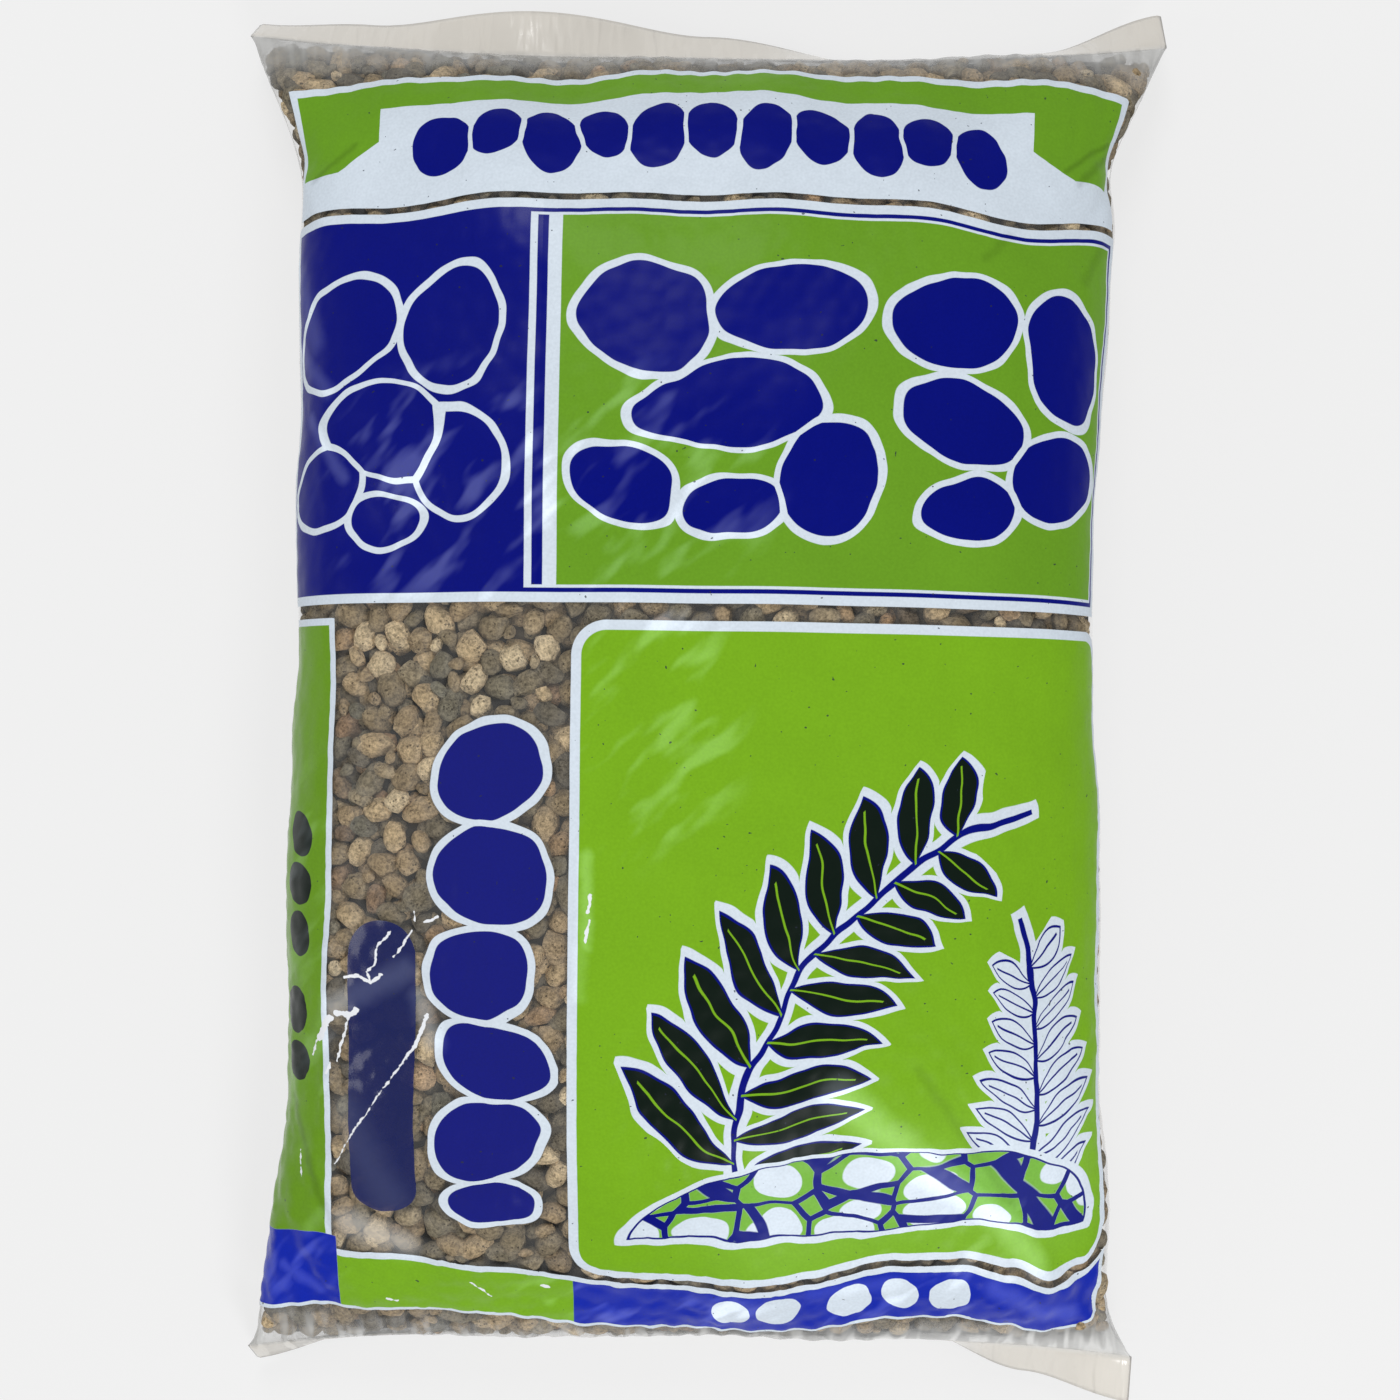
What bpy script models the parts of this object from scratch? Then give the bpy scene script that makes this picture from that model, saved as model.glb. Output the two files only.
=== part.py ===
"""A clear film sack of grit, lying on its back with its printed face up.

X runs across the sack, Y along it towards the top of the print, and Z up. The floor is at Z = 0, and the
origin is on the floor under the middle of the sack. Every size is in metres.

The sack is a flat tube of film, welded straight across both ends. The form is worked out from the film:
each cross-section keeps the girth of the tube, so the sack is narrow where it is deep and as wide as
the flat tube at its welds.
"""
import math

import bmesh
import bpy
import numpy as np

# Film tube
FILM_WIDTH = 0.400
FILM_THICKNESS = 0.00015
WELD_WIDTH = 0.006
FLAP_LENGTH = 0.022
FLAP_OPENING = 0.0020
EAR_LENGTH = 0.015
EAR_CLING = 0.75
FLAP_CLING = 0.85

# Filled form
FILLED_LENGTH = 0.555
CROWN_HEIGHT = 0.066
FOLD_HEIGHT = 0.042
UNDER_DEPTH = 0.058
WELD_HEIGHT = 0.026
WELD_SLACK = 0.0010
CORNER_REACH = 0.008
CROWN_FULLNESS = 2.4
UNDER_FULLNESS = 3.0
END_FULLNESS = 4.0
END_SLOPE = 0.6

# Gathers beside the welds
GATHER_PITCH = 0.057
GATHER_DEPTH = 0.0025
GATHER_REACH = 0.024

# Pinches in the long sides and corners: side, end, distance from that end's weld, length and depth
PINCHES = (
    (-1, 1, 0.040, 0.022, 0.0040),
    (-1, 1, 0.080, 0.030, 0.0042),
    (-1, -1, 0.208, 0.100, -0.0034),
    (-1, -1, 0.058, 0.022, 0.0015),
    (-1, -1, 0.000, 0.025, 0.0065),
    (1, 1, 0.052, 0.022, 0.0055),
    (1, 1, 0.083, 0.030, 0.0025),
    (1, 1, 0.234, 0.070, 0.0047),
    (1, -1, 0.034, 0.026, 0.0060),
    (1, -1, 0.000, 0.040, 0.0068),
)

# Droop of the flaps in degrees, at places given as a share of the half width
TOP_DROOP = ((-1.0, 60), (-0.75, 48), (-0.38, 14), (0.0, 48), (0.4, 80), (0.75, 70), (1.0, 35))
BOTTOM_DROOP = ((-1.0, 60), (-0.7, 84), (0.5, 84), (0.75, 45), (1.0, 15))
FLAP_CLEARANCE = 0.002

# Print, measured along the film from weld to weld
TOP_MARGIN = 0.0355
TOP_BAND = 0.0688
RIBBON = 0.0195
BAND_GAP = 0.003
TITLE_PANEL = 0.1646
PANEL_GAP = 0.0068
LOWER_GAP = 0.003
BOTTOM_BAND = 0.033
BOTTOM_MARGIN = 0.0305
BORDER = 0.004

# Print, measured across the film
SIDE_BAND = 0.046
SIDE_BAND_BEHIND = 0.036
WINDOW = 0.103
TITLE_SPLIT = 0.1295
PANEL_MARGIN = 0.011

# Vent hole, measured from the right fold and from the bottom weld
VENT_DIAMETER = 0.0022
VENT_FROM_FOLD = 0.044
VENT_FROM_WELD = 0.094
VENT_SIDES = 8

# Grit
GRIT_CLEARANCE = 0.0003
GRAIN_RELIEF = 0.0055
LEAST_RELIEF = 0.3
RELIEF_FADE = 0.040
GRAIN_SEED = 7

# Fineness of the mesh
ACROSS_STEP = 0.0165
ALONG_STEP = 0.025
END_STEP = 0.0105
GRAIN_STEP = 0.0115
HEAP_STEP = 0.024
SAME_PLACE = 1e-6
ARCH_POINTS = 240
FORM_RINGS = 241

CLEAR, GREEN, BLUE, WHITE = range(4)


def clear_scene():
    for thing in list(bpy.data.objects):
        bpy.data.objects.remove(thing, do_unlink=True)


def plain_material(name, colour, roughness, alpha=1.0):
    material = bpy.data.materials.new(name)
    material.use_nodes = True
    shader = material.node_tree.nodes["Principled BSDF"]
    shader.inputs["Base Color"].default_value = (*colour, 1.0)
    shader.inputs["Roughness"].default_value = roughness
    shader.inputs["Metallic"].default_value = 0.0
    shader.inputs["Alpha"].default_value = alpha
    return material


def spaced(edges, step):
    """Places from the first edge to the last, on every edge and about a step apart between them."""
    places = [edges[0]]
    for start, end in zip(edges, edges[1:]):
        count = max(1, round((end - start) / step))
        places.extend(start + (end - start) * k / count for k in range(1, count + 1))
    return np.array(places)


def eased(places, stops):
    """Smooth values between the stops, each a place and its value."""
    stop_places, values = (np.array(column, dtype=float) for column in zip(*stops))
    index = np.clip(np.searchsorted(stop_places, places) - 1, 0, len(values) - 2)
    share = (places - stop_places[index]) / (stop_places[index + 1] - stop_places[index])
    share = share * share * (3 - 2 * share)
    return values[index] + share * (values[index + 1] - values[index])


def arch(half_width, height, fullness):
    """Superellipse arches, one for each ring, from the left fold over to the right fold."""
    turn = np.linspace(0.0, math.pi, ARCH_POINTS)
    x = -half_width[:, None] * np.sign(np.cos(turn)) * np.abs(np.cos(turn)) ** (2 / fullness)
    z = height[:, None] * np.clip(np.sin(turn), 0, 1) ** (2 / fullness)
    return x, z


def path_length(x, z):
    return np.hypot(np.diff(x), np.diff(z)).sum(axis=1)


def section(half_width, swell):
    """Upper and lower film of each ring. The floor presses the lower film flat."""
    fold = WELD_HEIGHT + (FOLD_HEIGHT - WELD_HEIGHT) * swell
    upper_x, upper_z = arch(half_width, CROWN_HEIGHT * swell + WELD_SLACK, CROWN_FULLNESS)
    lower_x, lower_z = arch(half_width, UNDER_DEPTH * swell + WELD_SLACK, UNDER_FULLNESS)
    lower_z = np.maximum(fold[:, None] - lower_z, 0.0)
    return upper_x, fold[:, None] + upper_z, lower_x, lower_z


def half_widths(swell):
    """Half width of each ring that keeps the girth of the tube."""
    low = np.full_like(swell, FILM_WIDTH / 8)
    high = np.full_like(swell, FILM_WIDTH / 2)
    for _ in range(40):
        middle = (low + high) / 2
        upper_x, upper_z, lower_x, lower_z = section(middle, swell)
        too_long = path_length(upper_x, upper_z) + path_length(lower_x, lower_z) > 2 * FILM_WIDTH
        high = np.where(too_long, middle, high)
        low = np.where(too_long, low, middle)
    return low


def spread(x, z, shares):
    """Points of each ring at the given shares of its path."""
    rings = []
    for ring_x, ring_z in zip(x, z):
        path = np.concatenate(([0.0], np.cumsum(np.hypot(np.diff(ring_x), np.diff(ring_z)))))
        places = shares * path[-1]
        rings.append(np.column_stack((np.interp(places, path, ring_x), np.interp(places, path, ring_z))))
    return np.array(rings)


def corner_bow(shares):
    """How far the weld curves out towards the corners."""
    return CORNER_REACH * np.abs(2 * shares - 1) ** 3


def gather(shares, from_weld):
    """Depth of the shallow pleats that run in from a weld."""
    reach = from_weld / GATHER_REACH
    wave = 0.5 - 0.5 * np.cos(2 * math.pi * shares * FILM_WIDTH / GATHER_PITCH)
    return GATHER_DEPTH * wave * reach * np.exp(1 - reach)


def pinch(shares, eta):
    """Inward move of the long sides at the pinches, as a signed change in X."""
    move = np.zeros((len(eta), len(shares)))
    for side, end, from_weld, length, depth in PINCHES:
        along = (end * (FILLED_LENGTH / 2 - from_weld) - eta * FILLED_LENGTH / 2) / length
        near_side = np.clip(side * (2 * shares - 1), 0, 1) ** 4
        move -= side * depth * np.exp(-along ** 2)[:, None] * near_side[None, :]
    return move


def pillow(shares):
    """The filled form, as upper and lower grids of points: rings along Y, shares of the width across."""
    eta = np.sin(np.linspace(-math.pi / 2, math.pi / 2, FORM_RINGS))
    swell = (1 - np.abs(eta) ** END_FULLNESS) ** END_SLOPE
    upper_x, upper_z, lower_x, lower_z = section(half_widths(swell), swell)
    bow = corner_bow(shares)[None, :] * (np.sign(eta) * eta ** 4)[:, None]
    y = (eta * FILLED_LENGTH / 2)[:, None] + bow
    pleats = gather(shares[None, :], (FILLED_LENGTH / 2 * (1 - np.abs(eta)))[:, None])
    grids = []
    for x, z, inward in ((upper_x, upper_z, -1), (lower_x, lower_z, 1)):
        points = spread(x, z, shares)
        depth = pleats * np.sin(math.pi * shares)[None, :] ** 0.5
        height = np.maximum(points[:, :, 1] + inward * depth, 0.0)
        grids.append(np.dstack((points[:, :, 0] + pinch(shares, eta), y, height)))
    return grids


def lay_out(grid, along):
    """Rows of the film at the given places between the welds, from -1 to 1. Film lies evenly along."""
    steps = np.linalg.norm(np.diff(grid, axis=0), axis=2)
    path = np.vstack((np.zeros(grid.shape[1]), np.cumsum(steps, axis=0)))
    path = 2 * path / path[-1] - 1
    rows = np.zeros((len(along), grid.shape[1], 3))
    for column in range(grid.shape[1]):
        for axis in range(3):
            rows[:, column, axis] = np.interp(along, path[:, column], grid[:, column, axis])
    return rows


def ringed(upper, lower):
    """Join upper and lower rows into closed rings: left fold, over, right fold and back underneath."""
    return np.concatenate((upper, lower[:, -2:0:-1]), axis=1)


def outward(rings):
    """Unit normals of the rings. The end rings' are square to the length, and the folds' point sideways."""
    right = np.roll(rings, -1, axis=1)
    left = np.roll(rings, 1, axis=1)
    along = np.gradient(rings, axis=0)
    normal = np.cross(right - left, along)
    normal[[0, -1], :, 1] = 0.0
    normal[:, 0] = (-1.0, 0.0, 0.0)
    normal[:, rings.shape[1] // 2] = (1.0, 0.0, 0.0)
    return normal / np.linalg.norm(normal, axis=2, keepdims=True)


def tucked(rings, share):
    """Rings with their folds drawn in towards the next points, as where film clings to film."""
    folds = [0, rings.shape[1] // 2]
    beside = (np.roll(rings, 1, axis=1) + np.roll(rings, -1, axis=1)) / 2
    rings = rings.copy()
    rings[:, folds] += share * (beside - rings)[:, folds]
    return rings


def film_length():
    """Length of the film between the welds, along the middle of the front."""
    upper, _ = pillow(np.array([0.0, 0.5, 1.0]))
    return np.linalg.norm(np.diff(upper[:, 1], axis=0), axis=1).sum()


def flap_ring(shares, end, distance, half_gap):
    """One ring of a flap, at a distance from its weld line."""
    droop = np.radians(eased(2 * shares - 1, TOP_DROOP if end > 0 else BOTTOM_DROOP))
    lowest = (WELD_HEIGHT - FLAP_CLEARANCE) / (FLAP_LENGTH + FLAP_OPENING)
    droop = np.minimum(droop, math.asin(min(1.0, lowest)))
    middle = np.column_stack((
        (shares - 0.5) * FILM_WIDTH + pinch(shares, np.array([end]))[0],
        end * (FILLED_LENGTH / 2 + corner_bow(shares) + distance * np.cos(droop)),
        WELD_HEIGHT - distance * np.sin(droop),
    ))
    gap = np.full(len(shares), half_gap)
    gap[[0, -1]] = 0.0
    lean = np.column_stack((np.zeros(len(shares)), end * np.sin(droop), np.cos(droop)))
    lean *= gap[:, None]
    return ringed((middle + lean)[None], (middle - lean)[None])[0]


def add_rings(bm, rings):
    return [[bm.verts.new(point) for point in ring] for ring in rings]


def skin(bm, rings):
    """Faces between neighbouring rings, two triangles to a cell, kept by row and column.

    The lower half's cells are split the other way, so that upper and lower film fold alike.
    """
    cells = {}
    for row, (ring, following) in enumerate(zip(rings, rings[1:])):
        for column in range(len(ring)):
            right = (column + 1) % len(ring)
            corners = [ring[column], ring[right], following[right], following[column]]
            if column >= len(ring) // 2:
                corners = corners[1:] + corners[:1]
            cells[row, column] = (bm.faces.new(corners[:3]), bm.faces.new(corners[2:] + corners[:1]))
    return cells


def close_flat(bm, ring):
    """Close a flattened ring by joining its upper points to the lower points behind them."""
    half = len(ring) // 2
    upper = ring[:half + 1]
    lower = [ring[0]] + ring[:half - 1:-1]
    bm.faces.new((upper[0], upper[1], lower[1]))
    for k in range(1, half - 1):
        bm.faces.new((upper[k], upper[k + 1], lower[k + 1], lower[k]))
    bm.faces.new((upper[half - 1], upper[half], lower[half - 1]))


def punch(bm, cells, cell, rings):
    """Cut a round hole in one cell and return its rim."""
    row, column = cell
    corners = (rings[row][column], rings[row][column + 1],
               rings[row + 1][column + 1], rings[row + 1][column])
    bmesh.ops.delete(bm, geom=list(cells[cell]), context="FACES")
    places = [corner.co for corner in corners]
    centre = sum(places[1:], places[0].copy()) / 4
    right = (places[1] - places[0]).normalized()
    up = right.cross(places[3] - places[0]).cross(right).normalized()
    rim = []
    for k in range(VENT_SIDES):
        turn = 2 * math.pi * (k / VENT_SIDES) - 3 * math.pi / 4
        offset = right * math.cos(turn) + up * math.sin(turn)
        rim.append(bm.verts.new(centre + offset * VENT_DIAMETER / 2))
    per_side = VENT_SIDES // 4
    for k in range(4):
        start = k * per_side
        for step in range(per_side):
            here = rim[start + step]
            following = rim[(start + step + 1) % VENT_SIDES]
            bm.faces.new((corners[k], following, here))
        bm.faces.new((corners[k], corners[(k + 1) % 4], rim[(start + per_side) % VENT_SIDES]))
    return rim


def bridge(bm, ring, other):
    for k in range(len(ring)):
        right = (k + 1) % len(ring)
        bm.faces.new((ring[k], ring[right], other[right], other[k]))


def print_rows():
    """Edges of the print along the film, from the bottom weld to the top one."""
    length = film_length()
    top = length / 2 - TOP_MARGIN
    title_top = top - TOP_BAND - BAND_GAP
    title_bottom = title_top - TITLE_PANEL
    picture_top = title_bottom - PANEL_GAP
    bottom = -length / 2 + BOTTOM_MARGIN
    picture_bottom = bottom + BOTTOM_BAND + LOWER_GAP
    return {
        "bottom weld": -length / 2,
        "bottom band": bottom,
        "bottom band border": bottom + BORDER,
        "bottom band top border": bottom + BOTTOM_BAND - BORDER,
        "bottom band top": bottom + BOTTOM_BAND,
        "picture bottom": picture_bottom,
        "picture bottom border": picture_bottom + BORDER,
        "picture top border": picture_top - BORDER,
        "picture top": picture_top,
        "title bottom": title_bottom,
        "title bottom border": title_bottom + BORDER,
        "title top border": title_top - BORDER,
        "title top": title_top,
        "top band bottom": top - TOP_BAND,
        "ribbon": top - RIBBON,
        "top band top": top,
        "top weld": length / 2,
    }


def print_columns():
    """Edges of the print across the front, from the left fold to the right one."""
    left = -FILM_WIDTH / 2
    window = left + SIDE_BAND
    picture = window + WINDOW
    return {
        "left fold": left,
        "panel left": left + PANEL_MARGIN,
        "side band": window,
        "title split": left + TITLE_SPLIT,
        "title split right": left + TITLE_SPLIT + 2 * BORDER,
        "picture left": picture,
        "picture left border": picture + BORDER,
        "picture right border": FILM_WIDTH / 2 - PANEL_MARGIN - BORDER,
        "panel right": FILM_WIDTH / 2 - PANEL_MARGIN,
        "right fold": FILM_WIDTH / 2,
    }


def ink(across, along, rows, columns):
    """Ink at one place of the front."""
    if rows["top band bottom"] < along < rows["top band top"]:
        return GREEN if along > rows["ribbon"] else WHITE
    if rows["title bottom"] < along < rows["title top"]:
        if not rows["title bottom border"] < along < rows["title top border"]:
            return WHITE
        if across < columns["title split"]:
            return BLUE
        return WHITE if across < columns["title split right"] else GREEN
    if rows["bottom band"] < along < rows["bottom band top"]:
        if not rows["bottom band border"] < along < rows["bottom band top border"]:
            return WHITE
        if across < columns["side band"] or across > columns["picture left"]:
            return BLUE
        return GREEN
    if rows["bottom band top"] < along < rows["picture top"] and across < columns["side band"]:
        return GREEN
    if rows["picture bottom"] < along < rows["picture top"]:
        if columns["picture left border"] < across < columns["picture right border"]:
            return GREEN if rows["picture bottom border"] < along < rows["picture top border"] else WHITE
        return WHITE if columns["picture left"] < across < columns["panel right"] else CLEAR
    return CLEAR


def ink_behind(across, along, rows):
    """Ink on the back, where only the side band turns round the left fold."""
    banded = rows["bottom band top"] < along < rows["picture top"]
    return GREEN if banded and across < -FILM_WIDTH / 2 + SIDE_BAND_BEHIND else CLEAR


def film_grid():
    """Places of the mesh on the flat film, as shares of its width and places along it."""
    rows = print_rows()
    columns = print_columns()
    half = FILM_WIDTH / 2
    edges = sorted(set(columns.values()) | {-half + SIDE_BAND_BEHIND})
    shares = (spaced(edges, ACROSS_STEP) + half) / FILM_WIDTH
    inner = [place for name, place in rows.items() if "weld" not in name]
    bottom_end = spaced([rows["bottom weld"], inner[0]], END_STEP)
    middle = spaced(inner, ALONG_STEP)
    top_end = spaced([inner[-1], rows["top weld"]], END_STEP)
    along = np.concatenate((bottom_end[:-1], middle, top_end[1:]))
    return shares, along, rows, columns


def draped(shares, along, length):
    """Rings of the film's outer face between the welds."""
    places = 2 * along / length
    return ringed(*(lay_out(grid, places) for grid in pillow(shares)))


def build_film_bag(shares, along, rows, columns, rings):
    bm = bmesh.new()
    slack = FLAP_OPENING / 2
    weld_start = WELD_WIDTH / 3
    pocket = WELD_WIDTH + weld_start
    middle = (pocket + FLAP_LENGTH) / 2
    flap = ((weld_start, FILM_THICKNESS), (pocket, 2 * FILM_THICKNESS),
            (middle, slack / 2 + FILM_THICKNESS), (FLAP_LENGTH, slack + FILM_THICKNESS))
    bottom = [flap_ring(shares, -1, distance, gap) for distance, gap in reversed(flap)]
    top = [flap_ring(shares, 1, distance, gap) for distance, gap in flap]
    outer = add_rings(bm, [*bottom, *rings, *top])
    outer_cells = skin(bm, outer)

    inner = rings - FILM_THICKNESS * outward(rings)
    ears = np.abs(along) > rows["top weld"] - EAR_LENGTH
    inner[ears] = tucked(inner[ears], EAR_CLING)
    cavity = add_rings(bm, inner)
    cavity_cells = skin(bm, cavity)
    close_flat(bm, cavity[0])
    close_flat(bm, cavity[-1])

    for end, order in ((-1, -1), (1, 1)):
        inside = [flap_ring(shares, end, distance, gap - FILM_THICKNESS) for distance, gap in flap[1:]]
        pocket_rings = add_rings(bm, tucked(np.array(inside[::order]), FLAP_CLING))
        skin(bm, pocket_rings)
        close_flat(bm, pocket_rings[0 if end > 0 else -1])
        bridge(bm, pocket_rings[-1 if end > 0 else 0], outer[-1 if end > 0 else 0])

    half = FILM_WIDTH / 2
    vent_column = int(np.searchsorted(shares * FILM_WIDTH - half, half - VENT_FROM_FOLD)) - 1
    vent_row = int(np.searchsorted(along, rows["bottom weld"] + VENT_FROM_WELD)) - 1
    outer_rim = punch(bm, outer_cells, (vent_row + len(bottom), vent_column), outer)
    cavity_rim = punch(bm, cavity_cells, (vent_row, vent_column), cavity)
    bridge(bm, outer_rim, cavity_rim)

    for (row, column), faces in outer_cells.items():
        body_row = row - len(bottom)
        if (body_row, column) == (vent_row, vent_column) or not 0 <= body_row < len(along) - 1:
            continue
        place = (along[body_row] + along[body_row + 1]) / 2
        front = column < len(shares) - 1
        near = column if front else 2 * (len(shares) - 1) - column - 1
        across = (shares[near] + shares[near + 1]) / 2 * FILM_WIDTH - half
        kind = ink(across, place, rows, columns) if front else ink_behind(across, place, rows)
        for face in faces:
            face.material_index = kind

    bmesh.ops.recalc_face_normals(bm, faces=bm.faces)
    mesh = bpy.data.meshes.new("film_bag")
    bm.to_mesh(mesh)
    bm.free()
    for material in (plain_material("clear film", (0.80, 0.82, 0.80), 0.18, 0.35),
                     plain_material("green ink", (0.19, 0.42, 0.03), 0.30),
                     plain_material("blue ink", (0.012, 0.020, 0.23), 0.28),
                     plain_material("white ink", (0.72, 0.78, 0.82), 0.32)):
        mesh.materials.append(material)
    mesh.shade_smooth()
    mesh.set_sharp_from_angle(angle=math.radians(50))
    return bpy.data.objects.new("film_bag", mesh)


def read_off(grid, places, wanted, axis):
    """A grid of points at wanted places along one of its axes, straight between its own."""
    index = np.clip(np.searchsorted(places, wanted) - 1, 0, len(places) - 2)
    share = (wanted - places[index]) / (places[index + 1] - places[index])
    share = share[:, None, None] if axis == 0 else share[None, :, None]
    before = np.take(grid, index, axis)
    return before + share * (np.take(grid, index + 1, axis) - before)


def refined(places, start, end, step):
    """The places, with those from start to end replaced by ones about a step apart."""
    before = places[places < start - SAME_PLACE]
    after = places[places > end + SAME_PLACE]
    return np.concatenate((before, spaced((start, end), step), after))


def grit_rings(shares, along, rows, columns, rings):
    """Rings of the film for the heap, finer in the window, and how rough the heap is at each point."""
    half = FILM_WIDTH / 2
    window = [(columns[name] + half) / FILM_WIDTH for name in ("side band", "picture left")]
    heap_shares = refined(shares, *window, GRAIN_STEP / FILM_WIDTH)
    heap_along = refined(along, rows["picture top"], rows["title top"], HEAP_STEP)
    heap_along = refined(heap_along, rows["picture bottom"], rows["picture top"], GRAIN_STEP)
    last = len(shares) - 1
    upper = rings[:, :last + 1]
    lower = rings[:, [0, *range(rings.shape[1] - 1, last - 1, -1)]]
    upper, lower = (read_off(read_off(grid, along, heap_along, 0), shares, heap_shares, 1)
                    for grid in (upper, lower))
    from_fold = np.minimum(heap_shares, 1 - heap_shares) * FILM_WIDTH
    from_weld = rows["top weld"] - np.abs(heap_along)
    from_edge = np.minimum(from_fold[None, :], from_weld[:, None])
    rough = np.clip(from_edge / RELIEF_FADE, LEAST_RELIEF, 1.0)
    return heap_along, ringed(upper, lower), ringed(rough, rough)


def build_grit(along, rings, rough):
    """The heap inside, a clearance away from the film, rough with grains and short of the corner ears."""
    relief = np.random.default_rng(GRAIN_SEED).random(rings.shape[:2]) * GRAIN_RELIEF * rough
    inset = FILM_THICKNESS + GRIT_CLEARANCE + relief
    shape = rings - inset[:, :, None] * outward(rings)
    bm = bmesh.new()
    heap = add_rings(bm, shape[np.abs(along) < along[-1] - EAR_LENGTH])
    skin(bm, heap)
    close_flat(bm, heap[0])
    close_flat(bm, heap[-1])
    bmesh.ops.recalc_face_normals(bm, faces=bm.faces)
    mesh = bpy.data.meshes.new("grit")
    bm.to_mesh(mesh)
    bm.free()
    mesh.materials.append(plain_material("grit", (0.30, 0.22, 0.14), 0.95))
    return bpy.data.objects.new("grit", mesh)


def centre_on_floor(film_bag, pieces):
    """Move the pieces so that the origin is under the middle of the film."""
    points = np.array([vertex.co for vertex in film_bag.data.vertices])
    middle = (points.min(axis=0) + points.max(axis=0)) / 2
    for piece in pieces:
        for vertex in piece.data.vertices:
            vertex.co.x -= middle[0]
            vertex.co.y -= middle[1]


def main():
    clear_scene()
    shares, along, rows, columns = film_grid()
    rings = draped(shares, along, rows["top weld"] - rows["bottom weld"])
    film_bag = build_film_bag(shares, along, rows, columns, rings)
    grit = build_grit(*grit_rings(shares, along, rows, columns, rings))
    centre_on_floor(film_bag, (film_bag, grit))
    for piece in (film_bag, grit):
        bpy.context.collection.objects.link(piece)


main()
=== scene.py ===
"""Looks of a clear film sack of grit, lying on its back with its printed face up.

Places on the film are given as across and along, in metres on the flat film. Across is 0 on the middle of
the front, half the film's width at a side fold, and more behind. Along is 0 halfway between the welds.
"""

import math
from functools import reduce

import bmesh
import bpy
import numpy as np
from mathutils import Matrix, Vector
from mathutils.kdtree import KDTree

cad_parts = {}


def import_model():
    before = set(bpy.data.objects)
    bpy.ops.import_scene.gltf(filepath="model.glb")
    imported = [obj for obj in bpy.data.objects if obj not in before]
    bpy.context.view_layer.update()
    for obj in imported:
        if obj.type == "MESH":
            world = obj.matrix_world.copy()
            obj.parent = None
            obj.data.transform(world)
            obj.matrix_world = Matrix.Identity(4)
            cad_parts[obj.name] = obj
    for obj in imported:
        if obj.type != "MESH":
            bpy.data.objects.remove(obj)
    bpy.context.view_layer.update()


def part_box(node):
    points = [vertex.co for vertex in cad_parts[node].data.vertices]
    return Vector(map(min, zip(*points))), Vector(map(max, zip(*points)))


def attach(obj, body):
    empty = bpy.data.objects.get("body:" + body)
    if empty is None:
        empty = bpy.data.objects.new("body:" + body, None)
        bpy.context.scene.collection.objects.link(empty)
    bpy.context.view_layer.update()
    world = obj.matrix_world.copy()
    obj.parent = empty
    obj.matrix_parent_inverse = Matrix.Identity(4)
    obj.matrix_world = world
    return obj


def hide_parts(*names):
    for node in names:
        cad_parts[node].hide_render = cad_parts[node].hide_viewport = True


MM = 0.001

# Filled form, as in the model
FILM_WIDTH = 0.400
FLAP_LENGTH = 0.022
FLAP_CLEARANCE = 0.002
FILLED_LENGTH = 0.555
CROWN_HEIGHT = 0.066
FOLD_HEIGHT = 0.042
UNDER_DEPTH = 0.058
WELD_HEIGHT = 0.026
WELD_SLACK = 0.0010
CORNER_REACH = 0.008
CROWN_FULLNESS = 2.4
UNDER_FULLNESS = 3.0
END_FULLNESS = 4.0
END_SLOPE = 0.6
GATHER_PITCH = 0.057
GATHER_DEPTH = 0.0025
GATHER_REACH = 0.024
# Pinches in the long sides and corners: side, end, distance from that end's weld, length and depth
PINCHES = (
    (-1, 1, 0.040, 0.022, 0.0040), (-1, 1, 0.080, 0.030, 0.0042), (-1, -1, 0.208, 0.100, -0.0034),
    (-1, -1, 0.058, 0.022, 0.0015), (-1, -1, 0.000, 0.025, 0.0065), (1, 1, 0.052, 0.022, 0.0055),
    (1, 1, 0.083, 0.030, 0.0025), (1, 1, 0.234, 0.070, 0.0047), (1, -1, 0.034, 0.026, 0.0060),
    (1, -1, 0.000, 0.040, 0.0068),
)
TOP_DROOP = ((-1.0, 60), (-0.75, 48), (-0.38, 14), (0.0, 48), (0.4, 80), (0.75, 70), (1.0, 35))
BOTTOM_DROOP = ((-1.0, 60), (-0.7, 84), (0.5, 84), (0.75, 45), (1.0, 15))
ARCH_POINTS = 240
FORM_RINGS = 361
FLAP_GAP = 0.0016

# Fineness of the film's mesh
FRONT_COLUMNS = 220
BACK_COLUMNS = 84
BODY_ROWS = 296
FLAP_ROWS = 9

# Grit against the film, and a deeper layer under it
GRAIN_SEED = 11
PIECE_SEED = 21
GRAIN_RADII = (0.0063, 0.0024)
GRAIN_TRIES = 90000
GRAIN_GAP = 0.82
GRAIN_CLEARANCE = 0.0003
GRAIN_DROP = 0.0004
UNDER_PRINT = 0.008
LEAST_HEIGHT = 0.0002
DEEP_RADII = (0.0058, 0.0036)
DEEP_TRIES = 40000
DEEP_GAP = 0.78
DEEP_DEPTH = 0.0045
DEEP_ROOM = 0.024
DEEP_UNDER_PRINT = 0.006
# Empty film beyond the grit: at both welds, and more of it at the lower right and at the corners
EMPTY_END = 0.001
EMPTY_LOWER = 0.014
LOWER_FROM = -0.020
LOWER_SPAN = 0.080
EMPTY_CORNER = 0.012
CORNER_SPAN = 0.020
# Thickness of sack that a grain needs, and how far in from a side fold it is measured, in grain radii
FRONT_ROOM = 2.1
BACK_ROOM = 3.4
FOLD_INSET = 1.6

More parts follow.
